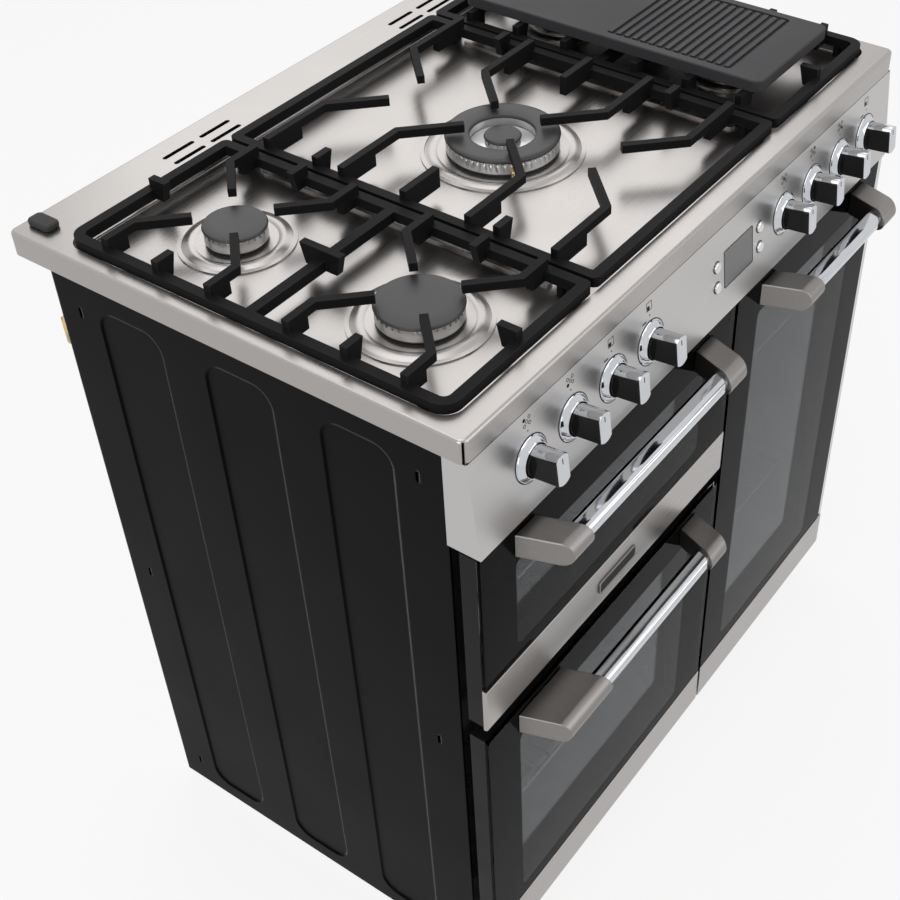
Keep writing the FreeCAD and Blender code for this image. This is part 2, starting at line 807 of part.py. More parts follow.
def hinge_lug(base, pin_way, back_way):
    """A hinge lug with its pin: base lies on the pin axis, in the middle of the lug."""
    start = base - pin_way * (lug_width / 2)
    eye = rod(lug_radius, start, pin_way, lug_width)
    reach = frame_front - hinge_y
    side = pin_way.cross(back_way)
    corner = start - side * lug_radius
    arm = prism([corner, corner + side * (2 * lug_radius),
                 corner + side * (2 * lug_radius) + back_way * reach,
                 corner + back_way * reach], pin_way * lug_width)
    length = lug_width + 2 * pin_overhang
    pin = rod(pin_radius, base - pin_way * (length / 2), pin_way, length)
    return eye.fuse([arm, pin]).removeSplitter()


def make_door(name, x0, x1, z0, z1, side_hung):
    """One door: glass, steel strip, inner frame, inner glass and handle. Returns its hinge lugs."""
    split = z0 + strip_height
    back_of_glass = door_front + door_glass
    keep(f"{name}_glass", rounded_plate_y(x0, x1, split, z1, door_front, back_of_glass, glass_corner))

    strip = block(x0, x1, door_front - strip_proud, back_of_glass, z0, split)
    low = [e for e in strip.Edges if e.BoundBox.YMax < door_front and e.BoundBox.ZMax < z0 + 0.01]
    keep(f"{name}_strip", strip.makeFillet(strip_edge_radius, low))

    wx0, wx1, wz0, wz1 = window_of(x0, x1, z0, z1)
    i = door_frame_inset
    frame = block(x0 + i, x1 - i, back_of_glass, door_back, z0 + i, z1 - i)
    opening = rounded_plate_y(wx0, wx1, wz0, wz1, back_of_glass - 1, door_back + 1, window_corner)
    frame = frame.cut(opening)
    lap = inner_glass_lap
    rebate = block(wx0 - lap, wx1 + lap, door_back - inner_glass, door_back + 1, wz0 - lap, wz1 + lap)
    frame = frame.cut(rebate)
    g = lap - inner_glass_gap
    pane = block(wx0 - g, wx1 + g, door_back - inner_glass, door_back, wz0 - g, wz1 + g)
    keep(f"{name}_inner_glass", pane)

    room = lug_radius + lug_clearance
    wide = lug_width / 2 + lug_clearance / 2
    back_way = Vector(0, 1, 0)
    lugs = []
    if side_hung:
        way = Vector(0, 0, 1)
        axis_x = x1 - hinge_inset
        places = [Vector(axis_x, hinge_y, z) for z in (z0 + hinge_along, z1 - hinge_along)]
    else:
        way = Vector(1, 0, 0)
        axis_z = z0 + hinge_inset
        places = [Vector(x, hinge_y, axis_z) for x in (x0 + hinge_along, x1 - hinge_along)]
    for place in places:
        if side_hung:
            notch = block(place.x - room, x1 + 1, hinge_y - room, door_back + 1,
                          place.z - wide, place.z + wide)
        else:
            notch = block(place.x - wide, place.x + wide, hinge_y - room, door_back + 1,
                          z0 - 1, place.z + room)
        length = lug_width + 2 * pin_overhang + 2
        bore = rod(pin_radius + running_gap, place - way * (length / 2), way, length)
        frame = frame.cut([notch, bore])
        lugs.append(hinge_lug(place, way, back_way))
    keep(f"{name}_frame", frame)
    make_handle(name, x0, x1, z1)
    return lugs


def make_handle(name, x0, x1, z1):
    top = z1 - handle_drop
    low = top - handle_height
    nose = door_front - handle_depth
    radius = handle_height / 2
    middle = (top + low) / 2
    a = x0 + handle_margin
    b = x1 - handle_margin
    long = block(a, b, nose + radius, door_front, low, top)
    long = long.fuse(rod(radius, Vector(a, nose + radius, middle), Vector(1, 0, 0), b - a))
    lead = bracket_splay / handle_depth

    left_width = bracket_width + (long_bracket_extra if name == long_bracket_door else 0)

    def plan(x, sx, width):
        reach = handle_depth + 1
        return prism([Vector(x, door_front, low - 1),
                      Vector(x + sx * width, door_front, low - 1),
                      Vector(x + sx * (width + lead * reach), door_front - reach, low - 1),
                      Vector(x + sx * lead * reach, door_front - reach, low - 1)],
                     Vector(0, 0, handle_height + 2))

    left = long.common(plan(a, 1, left_width))
    right = long.common(plan(b, -1, bracket_width))
    y0 = nose + bar_nose_gap
    section = block(a, b, y0, y0 + bar_depth, middle - bar_height / 2, middle + bar_height / 2)
    along = [e for e in section.Edges if abs(abs(e.tangentAt(e.FirstParameter).x) - 1) < 1e-6]
    section = section.makeFillet(bar_height * bar_round_share, along)
    outside = [prism([Vector(x - sx * handle_depth, door_front, low - 1),
                      Vector(x + sx * width, door_front, low - 1),
                      Vector(x + sx * (width + bracket_splay), nose, low - 1),
                      Vector(x - sx * handle_depth, nose, low - 1)], Vector(0, 0, handle_height + 2))
               for x, sx, width in ((a, 1, left_width), (b, -1, bracket_width))]
    keep(f"{name}_handle", left, right, section.cut(outside))


def doors():
    """Name, left, right, bottom, top and hinge side of each door."""
    left_end = door_split_x - door_split_gap / 2
    right_start = door_split_x + door_split_gap / 2
    return [("door_upper_left", -door_x, left_end, upper_floor, door_top, False),
            ("door_lower_left", -door_x, left_end, door_floor_gap, lower_top, False),
            ("door_right", right_start, door_x, door_floor_gap, door_top, True)]


def cavity_of(x0, x1, z0, z1):
    m = cavity_side_margin
    return x0 + m, x1 - m, z0 + cavity_bottom_margin, z1 - cavity_top_margin


def make_liner(name, x0, x1, z0, z1, rear_hole=None):
    t = liner_sheet
    depth = cavity_depth
    outer = block(x0 - t, x1 + t, frame_back, frame_back + depth + t, z0 - t, z1 + t)
    liner = outer.cut(block(x0, x1, frame_back - 1, frame_back + depth, z0, z1))
    if rear_hole:
        x, z = rear_hole
        liner = liner.cut(rod(shaft_radius + shaft_hole_gap, Vector(x, frame_back + depth - 1, z),
                             Vector(0, 1, 0), t + 2))
    keep(name, liner)


def make_rack(x0, x1, z):
    """A wire shelf between two cavity sides: two side wires, cross wires front to back."""
    y0 = frame_back + rack_front_gap
    y1 = frame_back + cavity_depth - baffle_gap - rack_front_gap
    r = rack_wire
    wires = [rod(r, Vector(x0, y, z), Vector(1, 0, 0), x1 - x0) for y in (y0, y1)]
    count = int((x1 - x0) / rack_wire_pitch)
    step = (x1 - x0 - 2 * r) / count
    for i in range(count + 1):
        wires.append(rod(cross_wire, Vector(x0 + r + i * step, y0, z), Vector(0, 1, 0), y1 - y0))
    return wires[0].fuse(wires[1:])


def runner(x, sx, z):
    """The pressed shelf runner on a cavity side."""
    y0 = frame_back + rack_front_gap
    y1 = frame_back + cavity_depth - baffle_gap - rack_front_gap
    z1 = z - rack_wire
    wide, past, thick = runner_size
    far = x + sx * wide
    return block(min(x, far), max(x, far), y0 - past, y1 + past, z1 - thick, z1)


def make_ovens():
    boxes = {name: cavity_of(x0, x1, z0, z1) for name, x0, x1, z0, z1, hung in doors()}
    plate = block(-inner_x, inner_x, frame_front, frame_back, feet_height + base_sheet, fascia_bottom)
    seals, lugs, racks, elements = [], [], [], []
    for name, x0, x1, z0, z1, hung in doors():
        cx0, cx1, cz0, cz1 = boxes[name]
        plate = plate.cut(block(cx0, cx1, frame_front - 1, frame_back + 1, cz0, cz1))
        w = seal_width
        ring = block(cx0 - w, cx1 + w, door_back + seal_gap, frame_front, cz0 - w, cz1 + w)
        seals.append(ring.cut(block(cx0, cx1, door_back, frame_front + 1, cz0, cz1)))
        lugs += make_door(name, x0, x1, z0, z1, hung)
    keep("front_frame", plate)
    keep("oven_seals", *seals)
    keep("hinge_lugs", *lugs)

    rx0, rx1, rz0, rz1 = boxes["door_right"]
    fan_x, fan_z = (rx0 + rx1) / 2, (rz0 + rz1) / 2
    make_liner("oven_liner_upper_left", *boxes["door_upper_left"])
    make_liner("oven_liner_lower_left", *boxes["door_lower_left"])
    make_liner("oven_liner_right", *boxes["door_right"], rear_hole=(fan_x, fan_z))

    for name, shares in rack_shares.items():
        x0, x1, z0, z1 = boxes[name]
        for share in shares:
            z = z0 + share * (z1 - z0)
            racks.append(make_rack(x0 + rack_side_gap, x1 - rack_side_gap, z))
            racks += [runner(x0, 1, z), runner(x1, -1, z)]
    keep("oven_racks", *racks)

    x0, x1, z0, z1 = boxes["door_upper_left"]
    elements.append(hairpin(x0, x1, z1 - element_wall_gap))
    x0, x1, z0, z1 = boxes["door_lower_left"]
    elements.append(hairpin(x0, x1, z1 - element_wall_gap))
    elements.append(hairpin(x0, x1, z0 + element_wall_gap))
    wall = frame_back + cavity_depth
    elements.append(fan_element(fan_x, fan_z, wall))
    keep("heating_elements", *elements)
    make_fan(fan_x, fan_z, wall)


def hairpin(x0, x1, z):
    """A hairpin heating element that leaves the cavity through its rear wall."""
    x0 += element_inset[0]
    x1 -= element_inset[0]
    y0 = frame_back + element_inset[1]
    y1 = frame_back + cavity_depth
    return pipe([Vector(x0, y1, z), Vector(x0, y0, z), Vector(x1, y0, z), Vector(x1, y1, z)],
                hairpin_bend, element_radius)


def fan_element(x, z, wall):
    """The heating element that runs once round the fan and leaves through the rear wall."""
    y = wall - fan_wall_gap - element_bend
    r = fan_radius + element_bend
    gap = element_bend
    return pipe([Vector(x - gap, wall, z - r), Vector(x - gap, y, z - r), Vector(x - r, y, z - r),
                 Vector(x - r, y, z + r), Vector(x + r, y, z + r), Vector(x + r, y, z - r),
                 Vector(x + gap, y, z - r), Vector(x + gap, wall, z - r)], element_bend, element_radius)


def make_fan(x, z, wall):
    back = Vector(0, 1, 0)
    hub_y = wall - fan_wall_gap
    disc = rod(fan_radius, Vector(x, hub_y - fan_disc, z), back, fan_disc)
    shaft = rod(shaft_radius, Vector(x, hub_y - fan_height, z), back,
                fan_height + fan_wall_gap + liner_sheet + shaft_tail)
    pieces = [shaft]
    for i in range(fan_blade_count):
        blade = block(fan_radius * blade_root_share, fan_radius - fan_disc,
                      hub_y - fan_height + blade_nose_gap, hub_y - fan_disc,
                      -blade_sheet / 2, blade_sheet / 2)
        blade.rotate(Vector(0, 0, 0), back, 360.0 / fan_blade_count * i)
        blade.translate(Vector(x, 0, z))
        pieces.append(blade)
    keep("convection_fan", disc.fuse(pieces).removeSplitter())

    start = wall + liner_sheet
    motor = rod(motor_radius, Vector(x, start, z), back, motor_length)
    motor = motor.cut(rod(shaft_radius + running_gap, Vector(x, start - 1, z), back, motor_bore))
    keep("fan_motor", motor)

    y = wall - baffle_gap
    half = fan_radius + cover_margin
    cover = block(x - half, x + half, y, y + cover_sheet, z - half, z + half)
    legs = []
    for sx in (-1, 1):
        leg_x = x + sx * (half - cover_leg_inset)
        legs.append(block(leg_x - cover_leg / 2, leg_x + cover_leg / 2, y, wall, z - half, z + half))
    holes = []
    for r in cover_hole_rows:
        for k in range(cover_hole_count):
            turn = 2 * math.pi * k / cover_hole_count
            at = Vector(x + r * math.cos(turn), y - 1, z + r * math.sin(turn))
            holes.append(rod(cover_hole_radius, at, back, cover_sheet + 2))
    keep("fan_cover", cover.fuse(legs).cut(holes))


def make_rear_parts():
    w, d, h = terminal_size
    x = inner_x - terminal_inset
    y1 = body_back - rear_sheet
    box = block(x - w, x, y1 - d, y1, terminal_level, terminal_level + h)
    keep("terminal_box", box)


def build():
    make_hob()
    make_casing()
    make_fascia()
    make_controls()
    make_burners()
    make_supports()
    make_ovens()
    make_rear_parts()
    os.makedirs("parts", exist_ok=True)
    for name, shape in NODES.items():
        shape.exportStep(f"parts/{name}.step")
    print(len(NODES), "nodes")


build()
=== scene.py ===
# %% [markdown]
# A free-standing range cooker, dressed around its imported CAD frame.
# The frame holds every solid at its real place in metres, so nothing here has to be fitted:
# each cell takes one part of the cooker, remakes or finishes it, and lets it ride on its body.

# %% Load the frame
import bpy
import json
import math
from mathutils import Euler, Matrix, Vector

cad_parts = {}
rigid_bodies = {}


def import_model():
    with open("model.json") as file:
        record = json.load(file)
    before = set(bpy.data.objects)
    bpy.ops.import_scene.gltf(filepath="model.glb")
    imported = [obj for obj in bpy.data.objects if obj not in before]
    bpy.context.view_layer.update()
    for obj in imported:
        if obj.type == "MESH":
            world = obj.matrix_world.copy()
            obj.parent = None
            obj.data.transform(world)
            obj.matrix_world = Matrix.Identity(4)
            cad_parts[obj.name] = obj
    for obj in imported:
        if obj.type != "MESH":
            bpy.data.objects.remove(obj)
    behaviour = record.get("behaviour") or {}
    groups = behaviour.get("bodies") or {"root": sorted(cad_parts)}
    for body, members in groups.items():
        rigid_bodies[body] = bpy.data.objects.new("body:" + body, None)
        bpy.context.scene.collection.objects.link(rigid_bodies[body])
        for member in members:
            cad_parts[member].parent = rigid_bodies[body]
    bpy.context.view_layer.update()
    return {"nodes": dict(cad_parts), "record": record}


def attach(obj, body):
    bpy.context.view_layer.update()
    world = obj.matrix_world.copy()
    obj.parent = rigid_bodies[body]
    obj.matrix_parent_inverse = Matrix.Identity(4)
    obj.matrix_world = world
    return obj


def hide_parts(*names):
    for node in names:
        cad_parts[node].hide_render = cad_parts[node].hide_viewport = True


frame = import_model()

# %% [markdown]
# The camera stands high in front of the left corner and looks down on the hob.
# It could be turned by hand until the edges agree with the picture. Here the place, the turn
# and the lens come from a fit of the hob's and doors' straight edges, which is exact and repeatable.

# %% Camera
photo_side = 900
focal_pixels = 1455.7
picture_centre = (536.1, 456.8)
eye = bpy.data.cameras.new("photo_eye")
eye.sensor_width = 36.0
eye.lens = focal_pixels / photo_side * eye.sensor_width
eye.shift_x = (photo_side / 2 - picture_centre[0]) / photo_side
eye.shift_y = (picture_centre[1] - photo_side / 2) / photo_side
camera = bpy.data.objects.new("photo_camera", eye)
camera.location = (-1.1938, -0.8664, 1.7705)
camera.rotation_euler = Euler((0.83452, 0.00686, -0.96495), "XYZ")
bpy.context.scene.collection.objects.link(camera)
bpy.context.scene.camera = camera
print("lens", round(eye.lens, 2), "shift", round(eye.shift_x, 3), round(eye.shift_y, 3))

# %% [markdown]
# Shaders are nodes joined by links. By hand they are dragged together in the shader editor. In a
# script three helpers keep that readable: one adds a node with its values set, one joins sockets,
# and one gives a value that is 1 for rays that should meet pure white and 0 for the rest.

# %% Helpers for shader nodes


def node(tree, kind, place=(0, 0), **values):
    """Adds one shader node, with its properties and named inputs set."""
    made = tree.nodes.new(kind)
    made.location = place
    for key, value in values.items():
        if hasattr(made, key):
            setattr(made, key, value)
        else:
            made.inputs[key.replace("_", " ")].default_value = value
    return made


def join(tree, *pairs):
    """Links outputs to inputs, two by two."""
    for start, end in zip(pairs[::2], pairs[1::2]):
        tree.links.new(start, end)


def white_to_camera(tree):
    """A value that is 1 for camera, glossy and transmission rays and 0 for the rest."""
    path = node(tree, "ShaderNodeLightPath", (-900, 200))
    first = node(tree, "ShaderNodeMath", (-700, 200), operation="MAXIMUM")
    both = node(tree, "ShaderNodeMath", (-500, 200), operation="MAXIMUM")
    join(tree, path.outputs["Is Camera Ray"], first.inputs[0],
         path.outputs["Is Glossy Ray"], first.inputs[1], first.outputs[0], both.inputs[0],
         path.outputs["Is Transmission Ray"], both.inputs[1])
    return both.outputs[0]


print("helpers", node.__name__, join.__name__, white_to_camera.__name__)

# %% [markdown]
# The studio floor is a pale sheet. To the camera, to reflections and through glass it mostly glows
# white; a small share stays an ordinary surface, which keeps the cooker's shadow.

# %% Floor
floor_glow = 0.85


def deselect():
    """Deselects everything, because an operator acts on all that is selected."""
    for other in bpy.context.view_layer.objects:
        other.select_set(False)


deselect()
bpy.ops.mesh.primitive_plane_add(size=14.0, location=(0.0, 0.0, 0.0))
floor = bpy.context.active_object
floor.name = "studio_floor"
pale = bpy.data.materials.new("pale_floor")
pale.use_nodes = True
tree = pale.node_tree
surface = tree.nodes["Principled BSDF"]
surface.inputs["Base Color"].default_value = (0.86, 0.86, 0.86, 1)
surface.inputs["Roughness"].default_value = 0.9
glow = node(tree, "ShaderNodeEmission", (-100, -300), Strength=1.0)
share = node(tree, "ShaderNodeMath", (-250, 200), operation="MULTIPLY")
share.inputs[1].default_value = floor_glow
mixed = node(tree, "ShaderNodeMixShader", (200, 100))
join(tree, white_to_camera(tree), share.inputs[0], share.outputs[0], mixed.inputs[0],
     surface.outputs[0], mixed.inputs[1], glow.outputs[0], mixed.inputs[2],
     mixed.outputs[0], tree.nodes["Material Output"].inputs["Surface"])
floor.data.materials.append(pale)
print("floor", floor.name, "glow", floor_glow)

# %% [markdown]
# The surround is white to the same rays and dimmer for everything else, so that the lamps shape the
# cooker and colours stay true.

# %% Surround
surround_dim, surround_white = 0.42, 1.0
surround = bpy.data.worlds.new("white_surround")
bpy.context.scene.world = surround
surround.use_nodes = True
tree = surround.node_tree
strength = node(tree, "ShaderNodeMapRange", (-250, 100))
strength.inputs["To Min"].default_value = surround_dim
strength.inputs["To Max"].default_value = surround_white
join(tree, white_to_camera(tree), strength.inputs["Value"],
     strength.outputs[0], tree.nodes["Background"].inputs["Strength"])
tree.nodes["Background"].inputs["Color"].default_value = (1, 1, 1, 1)
print("surround", surround_dim, "to", surround_white)

# %% [markdown]
# Four large soft boxes light the cooker as in a studio: two above, one in front and one at the left.
# They are wide and weak, because a small strong lamp would burn white spots into the steel.

# %% Lamps


def soft_box(name, place, aim, size, power):
    """A rectangular lamp that faces a point."""
    lamp = bpy.data.lights.new(name, "AREA")
    lamp.shape = "RECTANGLE"
    lamp.size, lamp.size_y = size
    lamp.energy = power
    holder = bpy.data.objects.new(name, lamp)
    holder.location = place
    holder.rotation_euler = (Vector(aim) - Vector(place)).to_track_quat("-Z", "Y").to_euler()
    bpy.context.scene.collection.objects.link(holder)


soft_box("top_box", (1.7, 1.5, 2.6), (0.0, 0.1, 0.9), (2.2, 1.6), 12.0)
soft_box("over_box", (-0.4, 0.2, 3.2), (0.0, 0.0, 0.9), (2.4, 2.0), 20.0)
soft_box("front_box", (0.9, -3.0, 1.9), (0.1, 0.0, 0.6), (3.0, 2.2), 28.0)
soft_box("side_box", (-3.0, -0.6, 1.6), (-0.3, 0.0, 0.6), (1.4, 1.4), 22.0)
bpy.context.scene.view_settings.view_transform = "Standard"

# %% [markdown]
# Chrome in an all-white room has no shape. A photographer stands a black card beside the camera,
# so that polished edges get a dark line. This card is seen by reflections only.

# %% Dark card for reflections
dark = bpy.data.materials.new("dark_card")
dark.use_nodes = True
tree = dark.node_tree
tree.nodes["Principled BSDF"].inputs["Base Color"].default_value = (0.02, 0.02, 0.02, 1)
path = node(tree, "ShaderNodeLightPath", (-400, 300))
clear = node(tree, "ShaderNodeBsdfTransparent", (-200, -200))
seen = node(tree, "ShaderNodeMixShader", (150, 100))
join(tree, path.outputs["Is Glossy Ray"], seen.inputs[0], clear.outputs[0], seen.inputs[1],
     tree.nodes["Principled BSDF"].outputs[0], seen.inputs[2],
     seen.outputs[0], tree.nodes["Material Output"].inputs["Surface"])
card_place, card_aim = Vector((1.7, -1.9, 1.75)), Vector((0.0, -0.3, 0.85))
deselect()
bpy.ops.mesh.primitive_plane_add(size=1.0, location=card_place)
card = bpy.context.active_object
card.name = "card_right"
card.scale = (0.9, 0.35, 1.0)
card.rotation_euler = (card_aim - card_place).to_track_quat("Z", "Y").to_euler()
card.data.materials.append(dark)
print("card", card.name)

# %% [markdown]
# Five effects are shared by the finishes, so each is a small group of shader nodes.
# The first is brushing: noise drawn out along one direction, as an abrasive belt leaves it.

# %% Brushing


def effect(name, inputs, outputs):
    """An empty shader group with its sockets, and its two end nodes."""
    group = bpy.data.node_groups.new(name, "ShaderNodeTree")
    for label, kind, start in inputs:
        socket = group.interface.new_socket(label, in_out="INPUT", socket_type=kind)
        socket.default_value = start
    for label in outputs:
        group.interface.new_socket(label, in_out="OUTPUT", socket_type="NodeSocketFloat")
    return group, group.nodes.new("NodeGroupInput"), group.nodes.new("NodeGroupOutput")


drawn_out = ("Stretch", "NodeSocketVector", (3.0, 700.0, 700.0))
brushing, given, put = effect("brushing", [drawn_out], ["Lines"])
place = node(brushing, "ShaderNodeTexCoord", (-900, 0))
stretch = node(brushing, "ShaderNodeVectorMath", (-650, 0), operation="MULTIPLY")
lines = node(brushing, "ShaderNodeTexNoise", (-400, 0), Scale=1.0, Detail=4.0, Roughness=0.7)
join(brushing, place.outputs["Object"], stretch.inputs[0], given.outputs["Stretch"], stretch.inputs[1],
     stretch.outputs[0], lines.inputs["Vector"], lines.outputs[0], put.inputs["Lines"])
print("effect", brushing.name)

# %% [markdown]
# Casting grain is the fine pebbling that sand leaves on iron under its enamel, with a slower cloud
# beside it. Handling marks is a large slow noise, the faint cloudiness that wiping leaves.

# %% Casting grain and handling marks
casting, given, put = effect("casting grain", [("Scale", "NodeSocketFloat", 900.0)], ["Grain", "Cloud"])
place = node(casting, "ShaderNodeTexCoord", (-900, 0))
grain = node(casting, "ShaderNodeTexNoise", (-500, 100), Detail=3.0, Roughness=0.6)
cloud = node(casting, "ShaderNodeTexNoise", (-500, -200), Scale=35.0, Detail=3.0)
join(casting, place.outputs["Object"], grain.inputs["Vector"],
     given.outputs["Scale"], grain.inputs["Scale"], place.outputs["Object"], cloud.inputs["Vector"],
     grain.outputs[0], put.inputs["Grain"], cloud.outputs[0], put.inputs["Cloud"])

handling, given, put = effect("handling marks", [("Scale", "NodeSocketFloat", 9.0)], ["Marks"])
place = node(handling, "ShaderNodeTexCoord", (-900, 0))
slow = node(handling, "ShaderNodeTexNoise", (-500, 0), Detail=5.0, Roughness=0.55)
join(handling, place.outputs["Object"], slow.inputs["Vector"],
     given.outputs["Scale"], slow.inputs["Scale"], slow.outputs[0], put.inputs["Marks"])
print("effects", casting.name, handling.name)

# %% [markdown]
# Edge wear and glint finds corners and lightens them: partly wear, where paint thins, and partly a
# painted highlight, where an edge would catch the light. A bevelled normal differs from the true one
# only near an edge, so the angle between the two is the mask. Noise makes it uneven.

# %% Edge wear and painted glint
edge_wear_and_glint, given, put = effect("edge wear and painted glint", [("Radius", "NodeSocketFloat", 0.0015)], ["Mask"])
rounded = node(edge_wear_and_glint, "ShaderNodeBevel", (-700, 0), samples=4)
true_face = node(edge_wear_and_glint, "ShaderNodeNewGeometry", (-700, -250))
agree = node(edge_wear_and_glint, "ShaderNodeVectorMath", (-450, 0), operation="DOT_PRODUCT")
patches = node(edge_wear_and_glint, "ShaderNodeTexNoise", (-700, -500), Scale=120.0, Detail=3.0)
where = node(edge_wear_and_glint, "ShaderNodeTexCoord", (-900, -500))
bent = node(edge_wear_and_glint, "ShaderNodeMapRange", (-200, 0))
for label, value in (("From Min", 0.995), ("From Max", 0.80), ("To Min", 0.0), ("To Max", 1.0)):
    bent.inputs[label].default_value = value
uneven = node(edge_wear_and_glint, "ShaderNodeMath", (0, 0), operation="MULTIPLY", use_clamp=True)
join(edge_wear_and_glint, given.outputs["Radius"], rounded.inputs["Radius"], rounded.outputs[0], agree.inputs[0],
     true_face.outputs["True Normal"], agree.inputs[1], agree.outputs["Value"], bent.inputs["Value"],
     where.outputs["Object"], patches.inputs["Vector"],
     bent.outputs[0], uneven.inputs[0], patches.outputs[0], uneven.inputs[1],
     uneven.outputs[0], put.inputs["Mask"])
print("effect", edge_wear_and_glint.name)

# %% [markdown]
# Painted shoulder shade and highlight darkens shoulders that turn up and forwards and lightens those
# that turn away: painted shade and a painted highlight, chosen by the way a shoulder faces. Here the
# bevelled normal is compared with one direction.

# %% Painted shoulder shade and highlight
shoulder_radius = ("Radius", "NodeSocketFloat", 0.0035)
# The Dark output is painted shade and the Light output a painted highlight on the shoulders.
painted_shoulder_light, given, put = effect("painted shoulder shade and highlight", [shoulder_radius], ["Dark", "Light"])
rounded = node(painted_shoulder_light, "ShaderNodeBevel", (-900, 0), samples=4)
toward = node(painted_shoulder_light, "ShaderNodeVectorMath", (-650, 0), operation="DOT_PRODUCT")
toward.inputs[1].default_value = (0.0, -0.8, 0.6)
darker = node(painted_shoulder_light, "ShaderNodeMath", (-300, 100), operation="MULTIPLY", use_clamp=True)
darker.inputs[1].default_value = 4.0
lighter = node(painted_shoulder_light, "ShaderNodeMath", (-300, -150), operation="MULTIPLY_ADD", use_clamp=True)
lighter.inputs[1].default_value = -2.4
lighter.inputs[2].default_value = -0.25
join(painted_shoulder_light, given.outputs["Radius"], rounded.inputs["Radius"], rounded.outputs[0], toward.inputs[0],
     toward.outputs["Value"], darker.inputs[0], toward.outputs["Value"], lighter.inputs[0],
     darker.outputs[0], put.inputs["Dark"], lighter.outputs[0], put.inputs["Light"])
print("effects", [g.name for g in bpy.data.node_groups])

# %% [markdown]
# A finish is one material with its shader in plain sight and the shared effects beside it.
# The helper below makes the usual pattern: two tones mixed by an effect, a roughness that
# wanders between two values, and a shallow bump. Each finish then gets its own numbers.

# %% The usual pattern of a finish


def finish(name, tones, roughness, effect_tree, output, values=None, bump=0.0, distance=0.0005,
           metal=0.0, wear_and_glint=None, marks=9.0, **sockets):
    """A material: tones and bump follow the effect, roughness follows it and the handling marks."""
    material = bpy.data.materials.new(name)
    material.use_nodes = True
    tree = material.node_tree
    shader = tree.nodes["Principled BSDF"]
    shader.inputs["Metallic"].default_value = metal
    for label, value in sockets.items():
        shader.inputs[label.replace("_", " ")].default_value = value
    source = node(tree, "ShaderNodeGroup", (-1100, 0), node_tree=effect_tree)
    for label, value in (values or {}).items():
        source.inputs[label].default_value = value
    cloudy = node(tree, "ShaderNodeGroup", (-1100, -300), node_tree=handling)
    cloudy.inputs["Scale"].default_value = marks
    tint = node(tree, "ShaderNodeMix", (-600, 200), data_type="RGBA")
    tint.inputs["A"].default_value = (*tones[0], 1)
    tint.inputs["B"].default_value = (*tones[1], 1)
    both = node(tree, "ShaderNodeMath", (-850, -100), operation="ADD")
    half = node(tree, "ShaderNodeMath", (-700, -100), operation="MULTIPLY")
    half.inputs[1].default_value = 0.5
    shine = node(tree, "ShaderNodeMapRange", (-500, -100))
    for label, value in zip(("From Min", "From Max", "To Min", "To Max"), (0.3, 0.7, *roughness)):
        shine.inputs[label].default_value = value
    join(tree, source.outputs[output], tint.inputs["Factor"], source.outputs[output], both.inputs[0],
         cloudy.outputs["Marks"], both.inputs[1], both.outputs[0], half.inputs[0],
         half.outputs[0], shine.inputs["Value"], shine.outputs[0], shader.inputs["Roughness"])
    colour = tint.outputs["Result"]
    # Lighter edges: partly wear and partly a painted highlight.
    if wear_and_glint:
        wear_and_glint_mask = node(tree, "ShaderNodeGroup", (-850, 450), node_tree=edge_wear_and_glint)
        wear_and_glint_mask.inputs["Radius"].default_value = wear_and_glint[1]
        edge = node(tree, "ShaderNodeMix", (-300, 300), data_type="RGBA")
        edge.inputs["B"].default_value = (*wear_and_glint[0], 1)
        join(tree, wear_and_glint_mask.outputs["Mask"], edge.inputs["Factor"], colour, edge.inputs["A"])
        colour = edge.outputs["Result"]
    join(tree, colour, shader.inputs["Base Color"])
    if bump:
        relief = node(tree, "ShaderNodeBump", (-300, -350), Strength=bump, Distance=distance)
        join(tree, source.outputs[output], relief.inputs["Height"],
             relief.outputs[0], shader.inputs["Normal"])
    return material


looks = {}
print("finishes so far", len(looks))

# %% [markdown]
# Steel and other bare metals. The hob is satin stainless with its brushing along the front,
# the fascia is a slightly lighter sheet, the handle brackets are a warm grey brushed casting,
# and the trims are polished chrome.

# %% Metal finishes
along_x = {"Stretch": (4.0, 900.0, 900.0)}
along_y = {"Stretch": (700.0, 6.0, 700.0)}
looks["brushed_stainless"] = finish(
    "satin_stainless", ((0.35, 0.332, 0.32), (0.42, 0.40, 0.387)), (0.24, 0.36),
    brushing, "Lines", along_x, bump=0.06, distance=0.0002, metal=1.0)
looks["fascia_steel"] = finish(
    "fascia_sheet", ((0.46, 0.45, 0.445), (0.54, 0.53, 0.525)), (0.28, 0.40),
    brushing, "Lines", along_x, bump=0.06, distance=0.0002, metal=1.0)
looks["handle_steel"] = finish(
    "bracket_grey", ((0.20, 0.189, 0.181), (0.29, 0.274, 0.262)), (0.32, 0.44),
    brushing, "Lines", along_y, bump=0.08, distance=0.0002, metal=1.0)
looks["chrome"] = finish(
    "bright_chrome", ((0.50, 0.515, 0.54), (0.60, 0.615, 0.64)), (0.04, 0.10),
    handling, "Marks", {"Scale": 30.0}, metal=1.0)
looks["burner_aluminium"] = finish(
    "burner_casting", ((0.54, 0.54, 0.535), (0.66, 0.66, 0.655)), (0.26, 0.40),
    casting, "Grain", {"Scale": 700.0}, bump=0.1, distance=0.0002, metal=1.0)
looks["brass"] = finish(
    "turned_brass", ((0.62, 0.43, 0.16), (0.76, 0.56, 0.25)), (0.2, 0.36),
    handling, "Marks", {"Scale": 60.0}, metal=1.0)
looks["zinc_steel"] = finish(
    "zinc_sheet", ((0.42, 0.43, 0.45), (0.60, 0.61, 0.63)), (0.35, 0.55),
    casting, "Cloud", {"Scale": 200.0}, metal=1.0)
print("metals", sorted(looks))
